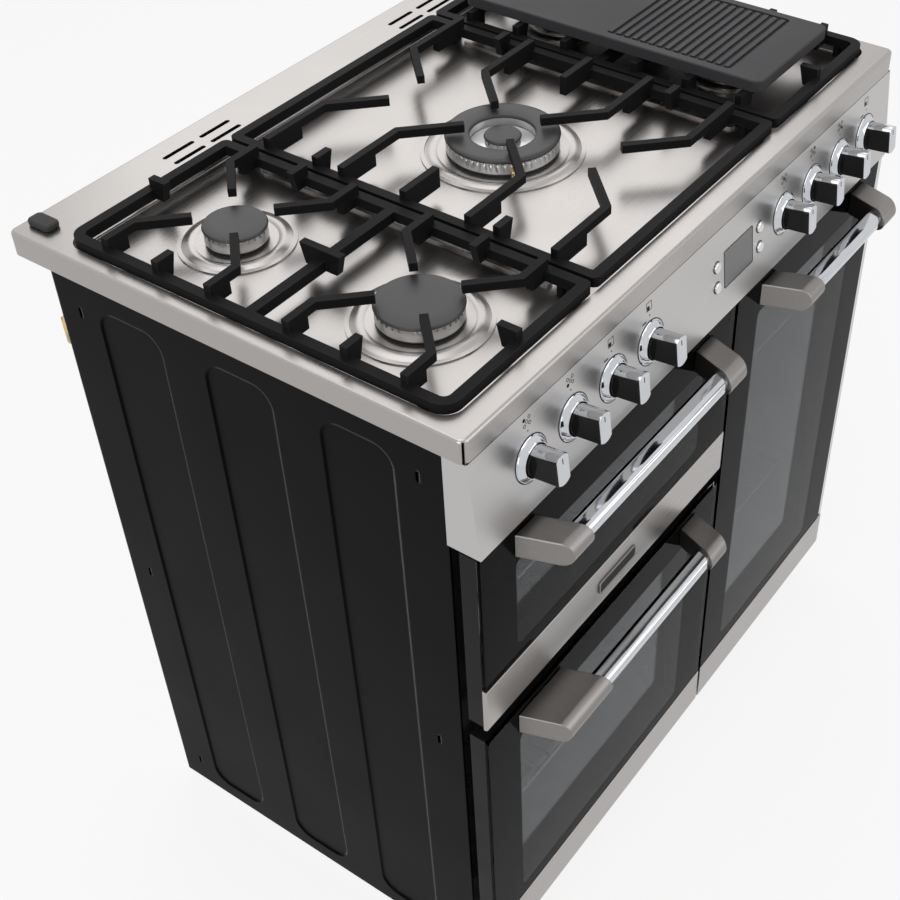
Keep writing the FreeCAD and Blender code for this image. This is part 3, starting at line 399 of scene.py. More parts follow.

# %% [markdown]
# Enamelled iron. The black pieces are never one flat black: the castings have grain and greyer edges,
# partly wear and partly a painted highlight, the caps are a finer enamel and the oven walls a smooth,
# slightly cloudy one.

# %% Enamels
looks["cast_iron"] = finish(
    "support_iron", ((0.006, 0.006, 0.007), (0.012, 0.012, 0.013)), (0.42, 0.58),
    casting, "Grain", {"Scale": 900.0}, bump=0.18, distance=0.0004,
    wear_and_glint=((0.03, 0.03, 0.032), 0.0016), Specular_IOR_Level=0.06)
looks["griddle_iron"] = finish(
    "griddle_iron", ((0.026, 0.025, 0.027), (0.047, 0.046, 0.050)), (0.45, 0.62),
    casting, "Grain", {"Scale": 800.0}, bump=0.2, distance=0.0004,
    wear_and_glint=((0.07, 0.068, 0.074), 0.0015), Specular_IOR_Level=0.25)
looks["cap_enamel"] = finish(
    "cap_enamel", ((0.022, 0.021, 0.023), (0.034, 0.033, 0.036)), (0.38, 0.52),
    casting, "Grain", {"Scale": 1200.0}, bump=0.08, distance=0.0003)
looks["cavity_enamel"] = finish(
    "oven_enamel", ((0.016, 0.016, 0.018), (0.030, 0.030, 0.033)), (0.22, 0.34),
    casting, "Cloud", {"Scale": 600.0}, bump=0.02, distance=0.0002)
print("finishes so far", len(looks))

# %% [markdown]
# The side sheets have a satin black coat with a fine orange peel. Their pressed shoulders get painted
# shade and a painted highlight: two more mixes between the coat's tones and the shader.

# %% Side paint
looks["black_panel"] = finish(
    "side_paint", ((0.0050, 0.0043, 0.0046), (0.0075, 0.0065, 0.0068)), (0.34, 0.46),
    casting, "Grain", {"Scale": 1400.0}, bump=0.06, distance=0.0002,
    Specular_IOR_Level=0.03)
tree = looks["black_panel"].node_tree
# Painted shade: shoulders facing up and forwards go near-black. Painted highlight: those facing away go
# grey.
painted_shoulder_node = node(tree, "ShaderNodeGroup", (-850, 500), node_tree=painted_shoulder_light)
coat = tree.nodes["Principled BSDF"].inputs["Base Color"].links[0].from_socket
painted_shade = node(tree, "ShaderNodeMix", (-350, 350), data_type="RGBA")
painted_shade.inputs["B"].default_value = (0.001, 0.001, 0.001, 1)
painted_glint = node(tree, "ShaderNodeMix", (-150, 350), data_type="RGBA")
painted_glint.inputs["B"].default_value = (0.16, 0.15, 0.15, 1)
join(tree, coat, painted_shade.inputs["A"], painted_shoulder_node.outputs["Dark"], painted_shade.inputs["Factor"],
     painted_shade.outputs["Result"], painted_glint.inputs["A"], painted_shoulder_node.outputs["Light"], painted_glint.inputs["Factor"],
     painted_glint.outputs["Result"], tree.nodes["Principled BSDF"].inputs["Base Color"])
print("side paint nodes", len(tree.nodes))

# %% [markdown]
# Paints, plastics and rubber: the door frames are matt black, the knobs glossy, the rubber dull and
# dusty, the buttons silvered and the clock window a clear dark grey.

# %% Paints, plastics and rubber
looks["door_frame_paint"] = finish(
    "door_frame_paint", ((0.005, 0.005, 0.0055), (0.009, 0.009, 0.0095)),
    (0.3, 0.45), casting, "Cloud", {"Scale": 500.0}, Specular_IOR_Level=0.08)
looks["black_rubber"] = finish(
    "dusty_rubber", ((0.010, 0.010, 0.010), (0.022, 0.022, 0.021)), (0.6, 0.8),
    casting, "Cloud", {"Scale": 700.0}, bump=0.1, distance=0.0003)
looks["knob_black"] = finish(
    "knob_gloss", ((0.008, 0.008, 0.009), (0.014, 0.014, 0.015)), (0.10, 0.2),
    handling, "Marks", {"Scale": 50.0}, Specular_IOR_Level=0.2)
looks["button_silver"] = finish(
    "button_silver", ((0.62, 0.62, 0.63), (0.74, 0.74, 0.75)), (0.16, 0.26),
    handling, "Marks", {"Scale": 90.0}, metal=0.9)
looks["clock_grey"] = finish(
    "clock_window", ((0.10, 0.10, 0.10), (0.13, 0.13, 0.13)), (0.12, 0.2),
    handling, "Marks", {"Scale": 40.0})
looks["inner_plastic"] = finish(
    "switch_plastic", ((0.05, 0.05, 0.05), (0.09, 0.09, 0.09)), (0.5, 0.65),
    casting, "Cloud", {"Scale": 500.0})
looks["motor_paint"] = finish(
    "motor_paint", ((0.16, 0.16, 0.17), (0.24, 0.24, 0.25)), (0.4, 0.55),
    casting, "Cloud", {"Scale": 500.0})
print("finishes so far", len(looks))

# %% [markdown]
# The door glass is smoked and anti-glare, so its index is low and it mirrors little. The inner glass
# mirrors the room, which gives the windows their grey.

# %% Glass
looks["black_glass"] = finish(
    "smoked_glass", ((0.58, 0.59, 0.60), (0.66, 0.67, 0.68)), (0.0, 0.008),
    handling, "Marks", {"Scale": 5.0}, Transmission_Weight=1.0, IOR=1.08)
looks["clear_glass"] = finish(
    "inner_glass", ((0.40, 0.41, 0.43), (0.48, 0.49, 0.51)), (0.0, 0.012),
    handling, "Marks", {"Scale": 5.0}, Transmission_Weight=1.0, IOR=1.4)
print("finishes", len(looks))

# %% [markdown]
# Every CAD node first gets the finish of its slot. Those whose shape is already right, such as
# the racks and the sheets inside the casing, need nothing more.

# %% Finishes on the CAD nodes
slot_of = {part["node"]: part["material_slot"] for part in frame["record"]["subparts"]}
for name, thing in frame["nodes"].items():
    thing.data.materials.clear()
    thing.data.materials.append(looks[slot_of[name]])
print("dressed nodes", len(slot_of))

# %% [markdown]
# Most pieces start from the CAD solid itself, because its sizes are right. Its mesh is loose
# triangles, so a copy is merged and its flat triangles are dissolved into whole faces. The CAD
# object stays untouched.

# %% Copying a CAD node


def only(piece):
    """Selects one object and makes it active."""
    deselect()
    piece.select_set(True)
    bpy.context.view_layer.objects.active = piece


def fix_place(piece):
    """Puts an object's place, turn and size into its mesh."""
    only(piece)
    bpy.ops.object.transform_apply(location=True, rotation=True, scale=True)


def edit_all(piece):
    """Opens a piece for editing with everything selected."""
    only(piece)
    bpy.ops.object.mode_set(mode="EDIT")
    bpy.ops.mesh.select_mode(type="VERT")
    bpy.ops.mesh.select_all(action="SELECT")


def done_editing():
    """Goes back to object mode."""
    bpy.ops.object.mode_set(mode="OBJECT")


def merged_copy(cad_name, name):
    """A copy of a CAD node's mesh with its triangles joined into whole faces."""
    piece = bpy.data.objects.new(name, frame["nodes"][cad_name].data.copy())
    bpy.context.scene.collection.objects.link(piece)
    edit_all(piece)
    bpy.ops.mesh.customdata_custom_splitnormals_clear()
    bpy.ops.mesh.remove_doubles(threshold=0.00003)
    bpy.ops.mesh.dissolve_limited(angle_limit=math.radians(0.5))
    done_editing()
    return piece


print("loose triangles of the griddle", len(frame["nodes"]["griddle"].data.polygons))

# %% [markdown]
# A bevel rounds a piece's sharp edges, as a file or a press tool does on the real one. Where it has
# no room it leaves hair-thin edges, which are merged away. Weighted normals keep the flats flat.

# %% Rounding edges
smooth_angle = math.radians(40)
hair_edge = 0.00002


def soften(piece, width, segments=3, angle=32.0):
    """Rounds the sharp edges of a piece and shades the rest smooth."""
    rounding = piece.modifiers.new("rounding", "BEVEL")
    rounding.width = width
    rounding.segments = segments
    rounding.limit_method = "ANGLE"
    rounding.angle_limit = math.radians(angle)
    rounding.use_clamp_overlap = True
    even = piece.modifiers.new("even shading", "WEIGHTED_NORMAL")
    even.keep_sharp = True
    only(piece)
    bpy.ops.object.shade_smooth_by_angle(angle=smooth_angle)
    bpy.ops.object.modifier_apply(modifier=rounding.name)
    edit_all(piece)
    bpy.ops.mesh.remove_doubles(threshold=hair_edge)
    done_editing()
    bpy.ops.object.modifier_apply(modifier=even.name)
    return piece


print("edges shorter than", hair_edge, "m are merged")

# %% [markdown]
# A finished piece keeps its place in its mesh, wears the finish of its slot, rides on the body that
# carries it and stands in for the CAD nodes that it remakes.

# %% Settling a piece on its body


def settle(piece, body, slot, *cad_names):
    """Puts a piece's place in its mesh, gives it its finish and lets it ride on its body."""
    fix_place(piece)
    piece.data.materials.clear()
    piece.data.materials.append(looks[slot])
    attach(piece, body)
    if cad_names:
        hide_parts(*cad_names)
    print(piece.name, "on", body, "faces", len(piece.data.polygons))
    return piece


def remake(cad_name, name, edge, body, slot, segments=3):
    """Rounds a copy of a CAD node and settles it in the node's place."""
    return settle(soften(merged_copy(cad_name, name), edge, segments), body, slot, cad_name)


print("slots with a finish", sorted(looks))

# %% [markdown]
# The pan supports and the griddle are sand castings. Their edges are never sharp: the pattern
# needs draft and the enamel runs thin on corners, so every edge gets a generous rounding.

# %% Pan supports and griddle
support_edge, griddle_edge = 0.0018, 0.0012
for side in ("left", "centre", "right"):
    cad_name = f"pan_support_{side}"
    remake(cad_name, f"{side}_casting", support_edge, cad_name, "cast_iron")
remake("griddle", "griddle_casting", griddle_edge, "griddle", "griddle_iron")

# %% [markdown]
# The hob is one pressed sheet, so its pads, rings and ridges have soft shoulders and no corner
# is crisp. The rubber bumpers at the back keep a lid or a wall off the steel.

# %% Hob top and bumpers
press_edge, bumper_edge = 0.0011, 0.0028
remake("hob_top", "hob_pressing", press_edge, "cooker", "brushed_stainless")
remake("hob_bumpers", "bumper_pads", bumper_edge, "cooker", "black_rubber", 4)

# %% [markdown]
# Round parts are turned on a lathe, and so they are here: one point is drawn along the section by
# extruding it, and the spin operator carries the section once round the Z axis. The seam and the
# poles are merged, and the normals are made to point outwards.

# %% A lathe


def turned(name, section, steps=64):
    """A lathe piece about the Z axis, from a list of radius and height pairs."""
    deselect()
    bpy.ops.mesh.primitive_plane_add(size=0.01, location=(0, 0, 0))
    piece = bpy.context.active_object
    piece.name = name
    edit_all(piece)
    bpy.ops.mesh.merge(type="CENTER")
    bpy.ops.mesh.select_all(action="SELECT")
    bpy.ops.transform.translate(value=(section[0][0], 0, section[0][1]))
    for before, after in zip(section, section[1:]):
        step = (after[0] - before[0], 0, after[1] - before[1])
        bpy.ops.mesh.extrude_region_move(TRANSFORM_OT_translate={"value": step})
    bpy.ops.mesh.select_all(action="SELECT")
    bpy.ops.mesh.spin(steps=steps, angle=math.tau, center=(0, 0, 0), axis=(0, 0, 1))
    bpy.ops.mesh.select_all(action="SELECT")
    bpy.ops.mesh.remove_doubles(threshold=0.00001)
    bpy.ops.mesh.normals_make_consistent(inside=False)
    done_editing()
    bpy.ops.object.shade_smooth_by_angle(angle=math.radians(35))
    return piece


def gather(name, pieces):
    """Joins pieces of one kind into one object."""
    only(pieces[0])
    for piece in pieces:
        piece.select_set(True)
    bpy.ops.object.join()
    pieces[0].name = name
    return pieces[0]


print("lathe ready", turned.__name__, gather.__name__)

# %% [markdown]
# Round each burner the press has drawn the sheet up into a low, soft dish, so that a spill stays
# outside it. Its section is a gentle crown that runs out into the floor of the well. It is drawn
# once per burner as a lathe section, with its foot sunk a little into the sheet. The section is in
# millimetres: how far outside the cap's edge, and how far above the floor.

# %% Pressed dishes round the burners
well_floor = 0.906
burner_x, burner_y, burner_step = 0.311, 0.01425, 0.123
ring_out, ring_in = 0.067, 0.038
burners = [("front_left", -burner_x, burner_y - burner_step, 0.0465),
           ("rear_left", -burner_x, burner_y + burner_step, 0.035),
           ("front_right", burner_x, burner_y - burner_step, 0.026),
           ("rear_right", burner_x, burner_y + burner_step, 0.035)]
all_burners = burners + [("middle", 0.0, burner_y, ring_out)]
dish_section = [
    (9.0, -0.4), (9.0, 2.05), (10.0, 2.40), (12.0, 2.95), (14.0, 3.25), (16.0, 3.20), (18.0, 2.75),
    (20.0, 2.00), (22.0, 1.20), (24.0, 0.58), (26.0, 0.22), (28.0, 0.05), (30.0, -0.03),
    (32.0, -0.1), (32.0, -0.4), (9.0, -0.4)]
dishes = []
for name, x, y, radius in all_burners:
    dish = turned("dish", [(radius + out / 1000, up / 1000) for out, up in dish_section], 96)
    dish.location = (x, y, well_floor)
    dishes.append(dish)
for dish in dishes:
    fix_place(dish)
settle(gather("pressed_dishes", dishes), "cooker", "brushed_stainless")

# %% [markdown]
# To work on one face or edge, it is found by its place and its direction, as the eye would find it.
# The select mode is set before edit mode opens, or the choice would spread to all shared corners.

# %% Picking faces and edges


def pick(piece, test, kind="FACE"):
    """Selects the faces or edges whose middle and direction pass a test, and goes to edit mode."""
    done_editing()
    mesh = piece.data
    for group in (mesh.vertices, mesh.edges, mesh.polygons):
        group.foreach_set("select", [False] * len(group))
    if kind == "FACE":
        for face in mesh.polygons:
            face.select = test(face.center, face.normal)
    else:
        for edge in mesh.edges:
            a, b = (mesh.vertices[i].co for i in edge.vertices)
            edge.select = test((a + b) / 2, b - a)
    bpy.context.tool_settings.mesh_select_mode = (False, kind == "EDGE", kind == "FACE")
    bpy.ops.object.mode_set(mode="EDIT")


print("picking ready", pick.__name__)

# %% [markdown]
# Each burner is a black cup, a bright aluminium crown with flame ports cut along its top edge,
# and a loose enamelled cap. The crown starts as a cylinder that is cut round near its top.
# Every third face of that upper band is pushed inwards, which leaves a ring of ports.

# %% Flame ports and crowns
crown_low, crown_high, cap_high = 0.912, 0.925, 0.930
port_high, port_deep, port_pitch = 0.0032, 0.0025, 0.0075
foot_step = 0.0012


def wall_faces(radius):
    """How many faces go round a ported wall: three for each port."""
    return 3 * round(math.tau * radius / port_pitch)


def ported_wall(piece, radius, high):
    """Cuts flame ports into the top edge of a round wall about the Z axis."""
    edit_all(piece)
    bpy.ops.mesh.bisect(plane_co=(0, 0, high - port_high), plane_no=(0, 0, 1))
    walls = wall_faces(radius)

    def is_port(middle, normal):
        turn = round((math.atan2(middle.y, middle.x) % math.tau) / math.tau * walls - 0.5)
        out = middle.x * normal.x + middle.y * normal.y
        return abs(normal.z) < 0.3 and out > 0 and middle.z > high - port_high and turn % 3 == 0

    pick(piece, is_port)
    bpy.ops.mesh.extrude_region_move()
    inner = (radius - port_deep) / radius
    bpy.ops.transform.resize(value=(inner, inner, 1), center_override=(0, 0, high))
    done_editing()


def crown(name, radius, low, high):
    """A solid crown with ports, standing on the Z axis."""
    deselect()
    bpy.ops.mesh.primitive_cylinder_add(vertices=wall_faces(radius), radius=radius, depth=high - low,
                                        location=(0, 0, (low + high) / 2))
    piece = bpy.context.active_object
    piece.name = name
    fix_place(piece)
    ported_wall(piece, radius, high)
    pick(piece, lambda middle, normal: normal.z < -0.9)
    bpy.ops.mesh.inset(thickness=foot_step)
    bpy.ops.transform.translate(value=(0, 0, foot_step))
    done_editing()
    bpy.ops.object.shade_smooth_by_angle(angle=math.radians(20))
    return piece


crowns = []
for name, x, y, radius in burners:
    made = crown(f"{name}_crown", radius - 0.001, crown_low, crown_high)
    made.location = (x, y, 0)
    crowns.append(made)
print("crowns", len(crowns))

# %% [markdown]
# A cap is turned with a rolled edge and a very slightly domed top, so that spills run off.

# %% Burner caps


def cap(name, radius, low, high):
    """A cap turned with a rolled edge and a very slightly domed top."""
    return turned(name, [
        (0.0, low), (radius - 0.0018, low), (radius - 0.0004, low + 0.0005), (radius, low + 0.0018),
        (radius - 0.0003, high - 0.0024), (radius - 0.0012, high - 0.0013),
        (radius - 0.003, high - 0.0008), (radius * 0.6, high - 0.0003), (0.0, high)], 96)


caps = []
for name, x, y, radius in burners:
    made = cap(f"{name}_cap", radius, crown_high, cap_high)
    made.location = (x, y, 0)
    caps.append(made)
print("caps", len(caps))

# %% [markdown]
# The middle burner has an outer ring with a hole and a small burner inside it. Its ring and the
# bright floor between the two are turned on the lathe, and the ports are cut as on the others.

# %% Middle burner
wall_out, wall_in = ring_out - 0.001, ring_in + 0.001
ring_crown = turned("wok_ring_crown", [
    (wall_in, crown_low), (wall_out, crown_low), (wall_out, crown_high), (wall_in, crown_high),
    (wall_in, crown_low)], wall_faces(wall_out))
ported_wall(ring_crown, wall_out, crown_high)
ring_cap = turned("wok_ring_cap", [
    (ring_in, crown_high), (ring_out - 0.0018, crown_high), (ring_out, crown_high + 0.0018),
    (ring_out - 0.0003, cap_high - 0.002), (ring_out - 0.002, cap_high - 0.0005),
    (ring_out - 0.006, cap_high), (ring_in + 0.004, cap_high - 0.0006),
    (ring_in + 0.001, cap_high - 0.0016), (ring_in, cap_high - 0.003), (ring_in, crown_high)], 96)
floor_in, floor_out = 0.0205, ring_in + 0.0005
ring_floor = turned("wok_ring_floor", [
    (floor_in, crown_low), (floor_out, crown_low), (floor_out, crown_low + 0.0030),
    (ring_in - 0.003, crown_low + 0.0018), (0.0250, crown_low + 0.0018), (floor_in, crown_low + 0.0030),
    (floor_in, crown_low)], 96)
inner_high = crown_high - 0.003
small_crown = crown("wok_inner_crown", 0.021, crown_low, inner_high)
small_cap = cap("wok_inner_cap", 0.022, inner_high, inner_high + 0.005)
for made in (ring_crown, ring_floor, ring_cap, small_crown, small_cap):
    made.location = (0, burner_y, 0)
crowns += [ring_crown, ring_floor, small_crown]
caps += [ring_cap, small_cap]
settle(gather("flame_crowns", crowns), "cooker", "burner_aluminium", "burner_crowns")
settle(gather("flame_caps", caps), "cooker", "cap_enamel", "burner_caps")

# %% [markdown]
# Each burner has a spark electrode at its front left: a thin pin in a stepped ceramic foot.
# The black cups under the burners only need their edges rounded.

# %% Spark electrodes and cups
pin_section = [(0.0, 0.908), (0.0021, 0.908), (0.0021, 0.9165), (0.0015, 0.9175), (0.0009, 0.9178),
               (0.0009, 0.9242), (0.0004, 0.925), (0.0, 0.925)]
cup_edge = 0.0008
pins = []
for name, x, y, radius in all_burners:
    away = (radius + 0.004) * math.cos(math.pi / 4)
    pin = turned(f"{name}_spark", pin_section, 20)
    pin.location = (x - away, y - away, 0)
    pins.append(pin)
settle(gather("spark_pins", pins), "cooker", "brass", "spark_electrodes")
remake("burner_cups", "burner_bowls", cup_edge, "cooker", "cap_enamel")

# %% [markdown]
# The fascia is a folded sheet that leans out a little at its foot. What sits on it is modelled
# upright at first and then leaned with it, by one turn about the long edge where it meets the hob.

# %% Fascia sheet
sheet_edge = 0.0009
lean_turn = Euler((math.radians(-6.0), 0, 0)).to_matrix().to_4x4()
fascia_frame = Matrix.Translation((0.0, -0.26625, 0.894)) @ lean_turn
control_line = -0.057
knob_pitch = 0.073
knob_xs = [middle + (i - 1.5) * knob_pitch for middle in (-0.246, 0.270) for i in range(4)]
remake("fascia", "fascia_sheet", sheet_edge, "cooker", "fascia_steel")


def lean(piece, x=0.0, z=control_line):
    """Moves a piece from the upright work table to its place on the leaning fascia."""
    fix_place(piece)
    piece.data.transform(fascia_frame @ Matrix.Translation((x, 0, z)))
    return piece


def on_fascia(piece, x, z=control_line):
    """Turns a lathe piece to face the front and leans it with the fascia."""
    piece.rotation_euler = (math.radians(90), 0, 0)
    return lean(piece, x, z)


print("knobs at", [round(x, 3) for x in knob_xs])

# %% [markdown]
# Behind each knob sits a dished chrome bezel. It is a lathe piece: a flat lip on the sheet,
# a conical wall that narrows outwards and a small rolled edge round the knob. A rubber ring seals
# its lip to the sheet and shows as a thin dark line.

# %% Bezels
bezel_section = [
    (0.018, 0.0), (0.0252, 0.0), (0.0254, 0.0006), (0.0248, 0.0011), (0.0242, 0.0011),
    (0.0238, 0.0020), (0.0198, 0.0064), (0.0191, 0.0070), (0.0184, 0.0069), (0.018, 0.0062),
    (0.018, 0.0)]
gasket_section = [(0.02548, 0.0), (0.0265, 0.0), (0.0265, 0.0003), (0.0263, 0.0005), (0.02548, 0.0005),
                  (0.02548, 0.0)]
bezels = [on_fascia(turned("bezel", bezel_section, 72), x) for x in knob_xs]
gaskets = [on_fascia(turned("gasket", gasket_section, 72), x) for x in knob_xs]
settle(gather("chrome_bezels", bezels), "cooker", "chrome", "knob_bezels")
settle(gather("bezel_gaskets", gaskets), "cooker", "black_rubber")

# %% [markdown]
# A knob is a round boss with a bar grip. The grip is glossy black with a chrome strap that runs
# over its top and down its front. The core is the CAD knob, brought upright to the work table, with
# a shallow panel pressed into each side. The strap is made from the core's own top and front faces,
# thickened outwards, so that it follows them exactly.

# %% Knob core and strap
boss_end = -0.0092
panel_rim, panel_deep = 0.0052, 0.0004
strap_share, strap_thick = 0.9, 0.0007


def copy_at(piece, name, shift):
    """A second piece of the same shape with its own mesh, moved over."""
    twin = bpy.data.objects.new(name, piece.data.copy())
    bpy.context.scene.collection.objects.link(twin)
    twin.location = shift
    return twin


core = merged_copy("knob_1", "knob_core")
core.data.transform((fascia_frame @ Matrix.Translation((knob_xs[0], 0, control_line))).inverted())
strap = copy_at(core, "knob_strap", (0, 0, 0))
only(core)
pick(core, lambda middle, normal: abs(normal.x) > 0.99 and middle.y < boss_end - 0.005)
bpy.ops.mesh.inset(thickness=panel_rim, depth=-panel_deep)
done_editing()
soften(core, 0.0009)

only(strap)
pick(strap, lambda middle, normal:
     middle.y >= boss_end - 0.002 or not (normal.y < -0.9 or normal.z > 0.4))
bpy.ops.mesh.delete(type="FACE")
bpy.ops.mesh.select_all(action="SELECT")
bpy.ops.transform.resize(value=(strap_share, 1, 1), center_override=(0, 0, 0))
done_editing()
sheet = strap.modifiers.new("strap sheet", "SOLIDIFY")
sheet.thickness = strap_thick
sheet.offset = 1.0
bpy.ops.object.modifier_apply(modifier=sheet.name)
soften(strap, 0.0003, 2)
print("knob core", len(core.data.polygons), "strap", len(strap.data.polygons))

# %% [markdown]
# A short tick on the front shows where the knob points. It starts as a block and joins the core.
# The knob is then copied to its eight places, each copy with its own mesh and body.

# %% Eight knobs


def plain_bar(name, middle, size):
    """A block with its size in its mesh, ready for more work."""
    deselect()
    bpy.ops.mesh.primitive_cube_add(size=1.0, location=middle)
    block = bpy.context.active_object
    block.name = name
    block.scale = size
    fix_place(block)
    return block


tick_place, tick_size = (0, -0.0376, 0.0105), (0.0011, 0.0005, 0.0062)
tick = soften(plain_bar("tick", tick_place, tick_size), 0.0002, 2)
core = gather("knob_core", [core, tick])
for i, x in enumerate(knob_xs):
    body = f"knob_{i + 1}"
    settle(lean(copy_at(core, f"grip_{i + 1}", (0, 0, 0)), x), body, "knob_black", body)
    settle(lean(copy_at(strap, f"strap_{i + 1}", (0, 0, 0)), x), body, "chrome")
bpy.data.objects.remove(core)
bpy.data.objects.remove(strap)

# %% [markdown]
# The clock has four small push buttons beside its window. Each gets a rolled edge.

# %% Clock buttons
button_edge = 0.0007
for i in range(4):
    body = f"clock_button_{i + 1}"
    remake(body, f"button_cap_{i + 1}", button_edge, body, "button_silver")

# %% [markdown]
# Under each group of vent slots hangs a shallow black tray, a dark sheet that stands in for the shade
# inside the slots, so they look black: painted shade. A block's top is inset and pushed down, as a press
# would draw it.

# %% Vent shade trays
tray_x, tray_y, tray_z = 0.201, 0.29275, 0.9098
tray_size, tray_wall, tray_deep = (0.126, 0.038, 0.0195), 0.0015, 0.017
trays = []
for x in (-tray_x, tray_x):
    tray = plain_bar("tray", (x, tray_y, tray_z), tray_size)
    pick(tray, lambda middle, normal: normal.z > 0.9)
    bpy.ops.mesh.inset(thickness=tray_wall)
    bpy.ops.mesh.extrude_region_move(TRANSFORM_OT_translate={"value": (0, 0, -tray_deep)})
    done_editing()
    trays.append(soften(tray, 0.0006, 2))
# The black trays are painted shade under the slots.
settle(gather("vent_shade_trays", trays), "cooker", "door_frame_paint")

# %% [markdown]
# A thin dark strip along the joint between the hob's rim and the fascia is painted shadow: it stands in
# for the shadow line of that joint and shows only as a dark hairline. The clock window gets a narrow
# dark frame, painted shadow of the recess round the window, cut from a plate as a picture frame is.

# %% Joint shadow strip and clock shadow frame
# A dark strip that stands in for the joint's shadow line: painted shadow.
shadow_strip_place, shadow_strip_size = (0, -0.2656, 0.8939), (0.893, 0.0016, 0.0008)
shadow_strip = plain_bar("joint_shadow_strip", shadow_strip_place, shadow_strip_size)
settle(soften(shadow_strip, 0.0002, 2), "cooker", "black_rubber")
clock_x = 0.052
frame_wide, frame_thick, frame_corner = 0.0009, 0.0008, 0.0025
deselect()
bpy.ops.mesh.primitive_plane_add(size=1.0, rotation=(math.radians(90), 0, 0))
clock_shadow_frame = bpy.context.active_object
clock_shadow_frame.name = "clock_shadow_frame"
clock_shadow_frame.scale = (0.0660, 0.0480, 1.0)
fix_place(clock_shadow_frame)
edit_all(clock_shadow_frame)
bpy.ops.mesh.bevel(offset=frame_corner, segments=4, affect="VERTICES")
bpy.ops.mesh.select_all(action="SELECT")
bpy.ops.mesh.inset(thickness=frame_wide)
bpy.ops.mesh.delete(type="FACE")
done_editing()
thick = clock_shadow_frame.modifiers.new("frame sheet", "SOLIDIFY")
thick.thickness = frame_thick
thick.offset = 0.0
bpy.ops.object.modifier_apply(modifier=thick.name)
# The dark frame is painted shadow of the recess round the clock window.
settle(lean(soften(clock_shadow_frame, 0.0002, 2), clock_x), "cooker", "knob_black")

# %% [markdown]
# Small printed signs sit above the knobs: five rings with one filled for a burner, a square with
# a filled corner for an oven, and a dot over each knob. They are thin raised discs and bars, so
# that they also show on a plain mesh.

# %% Printed discs and bars
ink_high = 0.00015
signs_and_shadows = []


def disc(x, z, outer, inner=0.0):
    """A printed dot or ring, or a ring of painted shadow, on the upright fascia."""
    section = [(inner, 0.0), (outer, 0.0), (outer, ink_high), (inner, ink_high)]
    signs_and_shadows.append(on_fascia(turned("mark", section + section[:1] if inner else section, 20), x, z))


def bar(x, z, wide, tall):
    """A printed bar on the upright fascia, with rounded edges."""
    mark = plain_bar("mark", (0, -ink_high / 2, 0), (wide, ink_high, tall))
    signs_and_shadows.append(lean(soften(mark, ink_high * 0.3, 2), x, z))


print("ink", ink_high, "m thick")

# %% [markdown]
# Each knob's job decides its sign. The filled ring stands where that burner is. An oven's sign also gets
# a short dash beside its knob. Each clock button gets a fine dark ring round it, painted shadow of the
# gap round the button.

# %% Printed signs and button shadow rings
dot_up, sign_up, dash_up = 0.0335, 0.0445, 0.0290
ring_x, ring_z, ring_radius, ring_hole = 0.0042, 0.0034, 0.0021, 0.0015
box_half, box_line, box_side = 0.0048, 0.0006, 0.0102
corner_left, corner_down, corner_side = 0.0017, 0.0019, 0.0045
dash_left, dash_wide, dash_tall = 0.0105, 0.0075, 0.0015
button_x, button_z, button_shadow_ring, button_shadow_hole = 0.049, 0.013, 0.0076, 0.0067
jobs = ["gas", "gas", "oven", "oven", "gas", "gas", "gas", "oven"]
lit = [(-1, 1), (-1, -1), (0, 0), (0, 0), (0, 0), (1, 1), (1, -1), (0, 0)]
for x, job, place in zip(knob_xs, jobs, lit):
    disc(x, control_line + dot_up, 0.0009)
    top = control_line + sign_up
    if job == "gas":
        for sx, sz in ((-1, -1), (-1, 1), (0, 0), (1, -1), (1, 1)):
            hole = 0.0 if (sx, sz) == place else ring_hole
            disc(x + sx * ring_x, top + sz * ring_z, ring_radius, hole)
    else:
        for sx in (-1, 1):
            bar(x + sx * box_half, top, box_line, box_side)
            bar(x, top + sx * box_half, box_side - 0.001, box_line)
        bar(x - corner_left, top - corner_down, corner_side, corner_side)
        bar(x - dash_left, control_line + dash_up, dash_wide, dash_tall)
# Fine dark rings round the clock buttons: painted shadow of the gap round each button.
for row in (-button_z, button_z):
    for side in (-1, 1):
        disc(clock_x + side * button_x, control_line + row, button_shadow_ring, button_shadow_hole)
settle(gather("printed_signs_and_shadows", signs_and_shadows), "cooker", "door_frame_paint")

# %% [markdown]
# Each door is a smoked glass in front, a satin steel strip at its foot and a bar handle. The glass
# edge is ground to a fine seam and the strip has a small fold radius.

# %% Door glasses and strips
ground_edge = 0.0007
doors = ("door_upper_left", "door_lower_left", "door_right")
for door in doors:
    remake(f"{door}_glass", f"{door}_pane", ground_edge, door, "black_glass", 2)
    remake(f"{door}_strip", f"{door}_foot_strip", ground_edge, door, "brushed_stainless")

# %% [markdown]
# A handle is two cast brackets with bull-nosed fronts and a polished bar between them. The CAD
# node holds all three, so its copy is split into loose parts: the longest is the bar.

# %% Handles
bracket_edge, rail_edge, handle_angle = 0.0012, 0.0006, 40.0
for door in doors:
    whole = merged_copy(f"{door}_handle", f"{door}_bar")
    edit_all(whole)
    bpy.ops.mesh.separate(type="LOOSE")
    done_editing()
    parts = sorted(bpy.context.selected_objects, key=lambda part: part.dimensions.x)
    rail = parts[-1]
    rail.name = f"{door}_rail"
    brackets = gather(f"{door}_brackets", parts[:-1])
    settle(soften(brackets, bracket_edge, 3, handle_angle), door, "handle_steel", f"{door}_handle")
    settle(soften(rail, rail_edge, 2, handle_angle), door, "chrome")

# %% [markdown]
# A small bare plate sits on the strip of the upper door: a raised rim round a sunk dark field.
# Both are blocks whose corners are rounded by a bevel.

# %% Bare plate


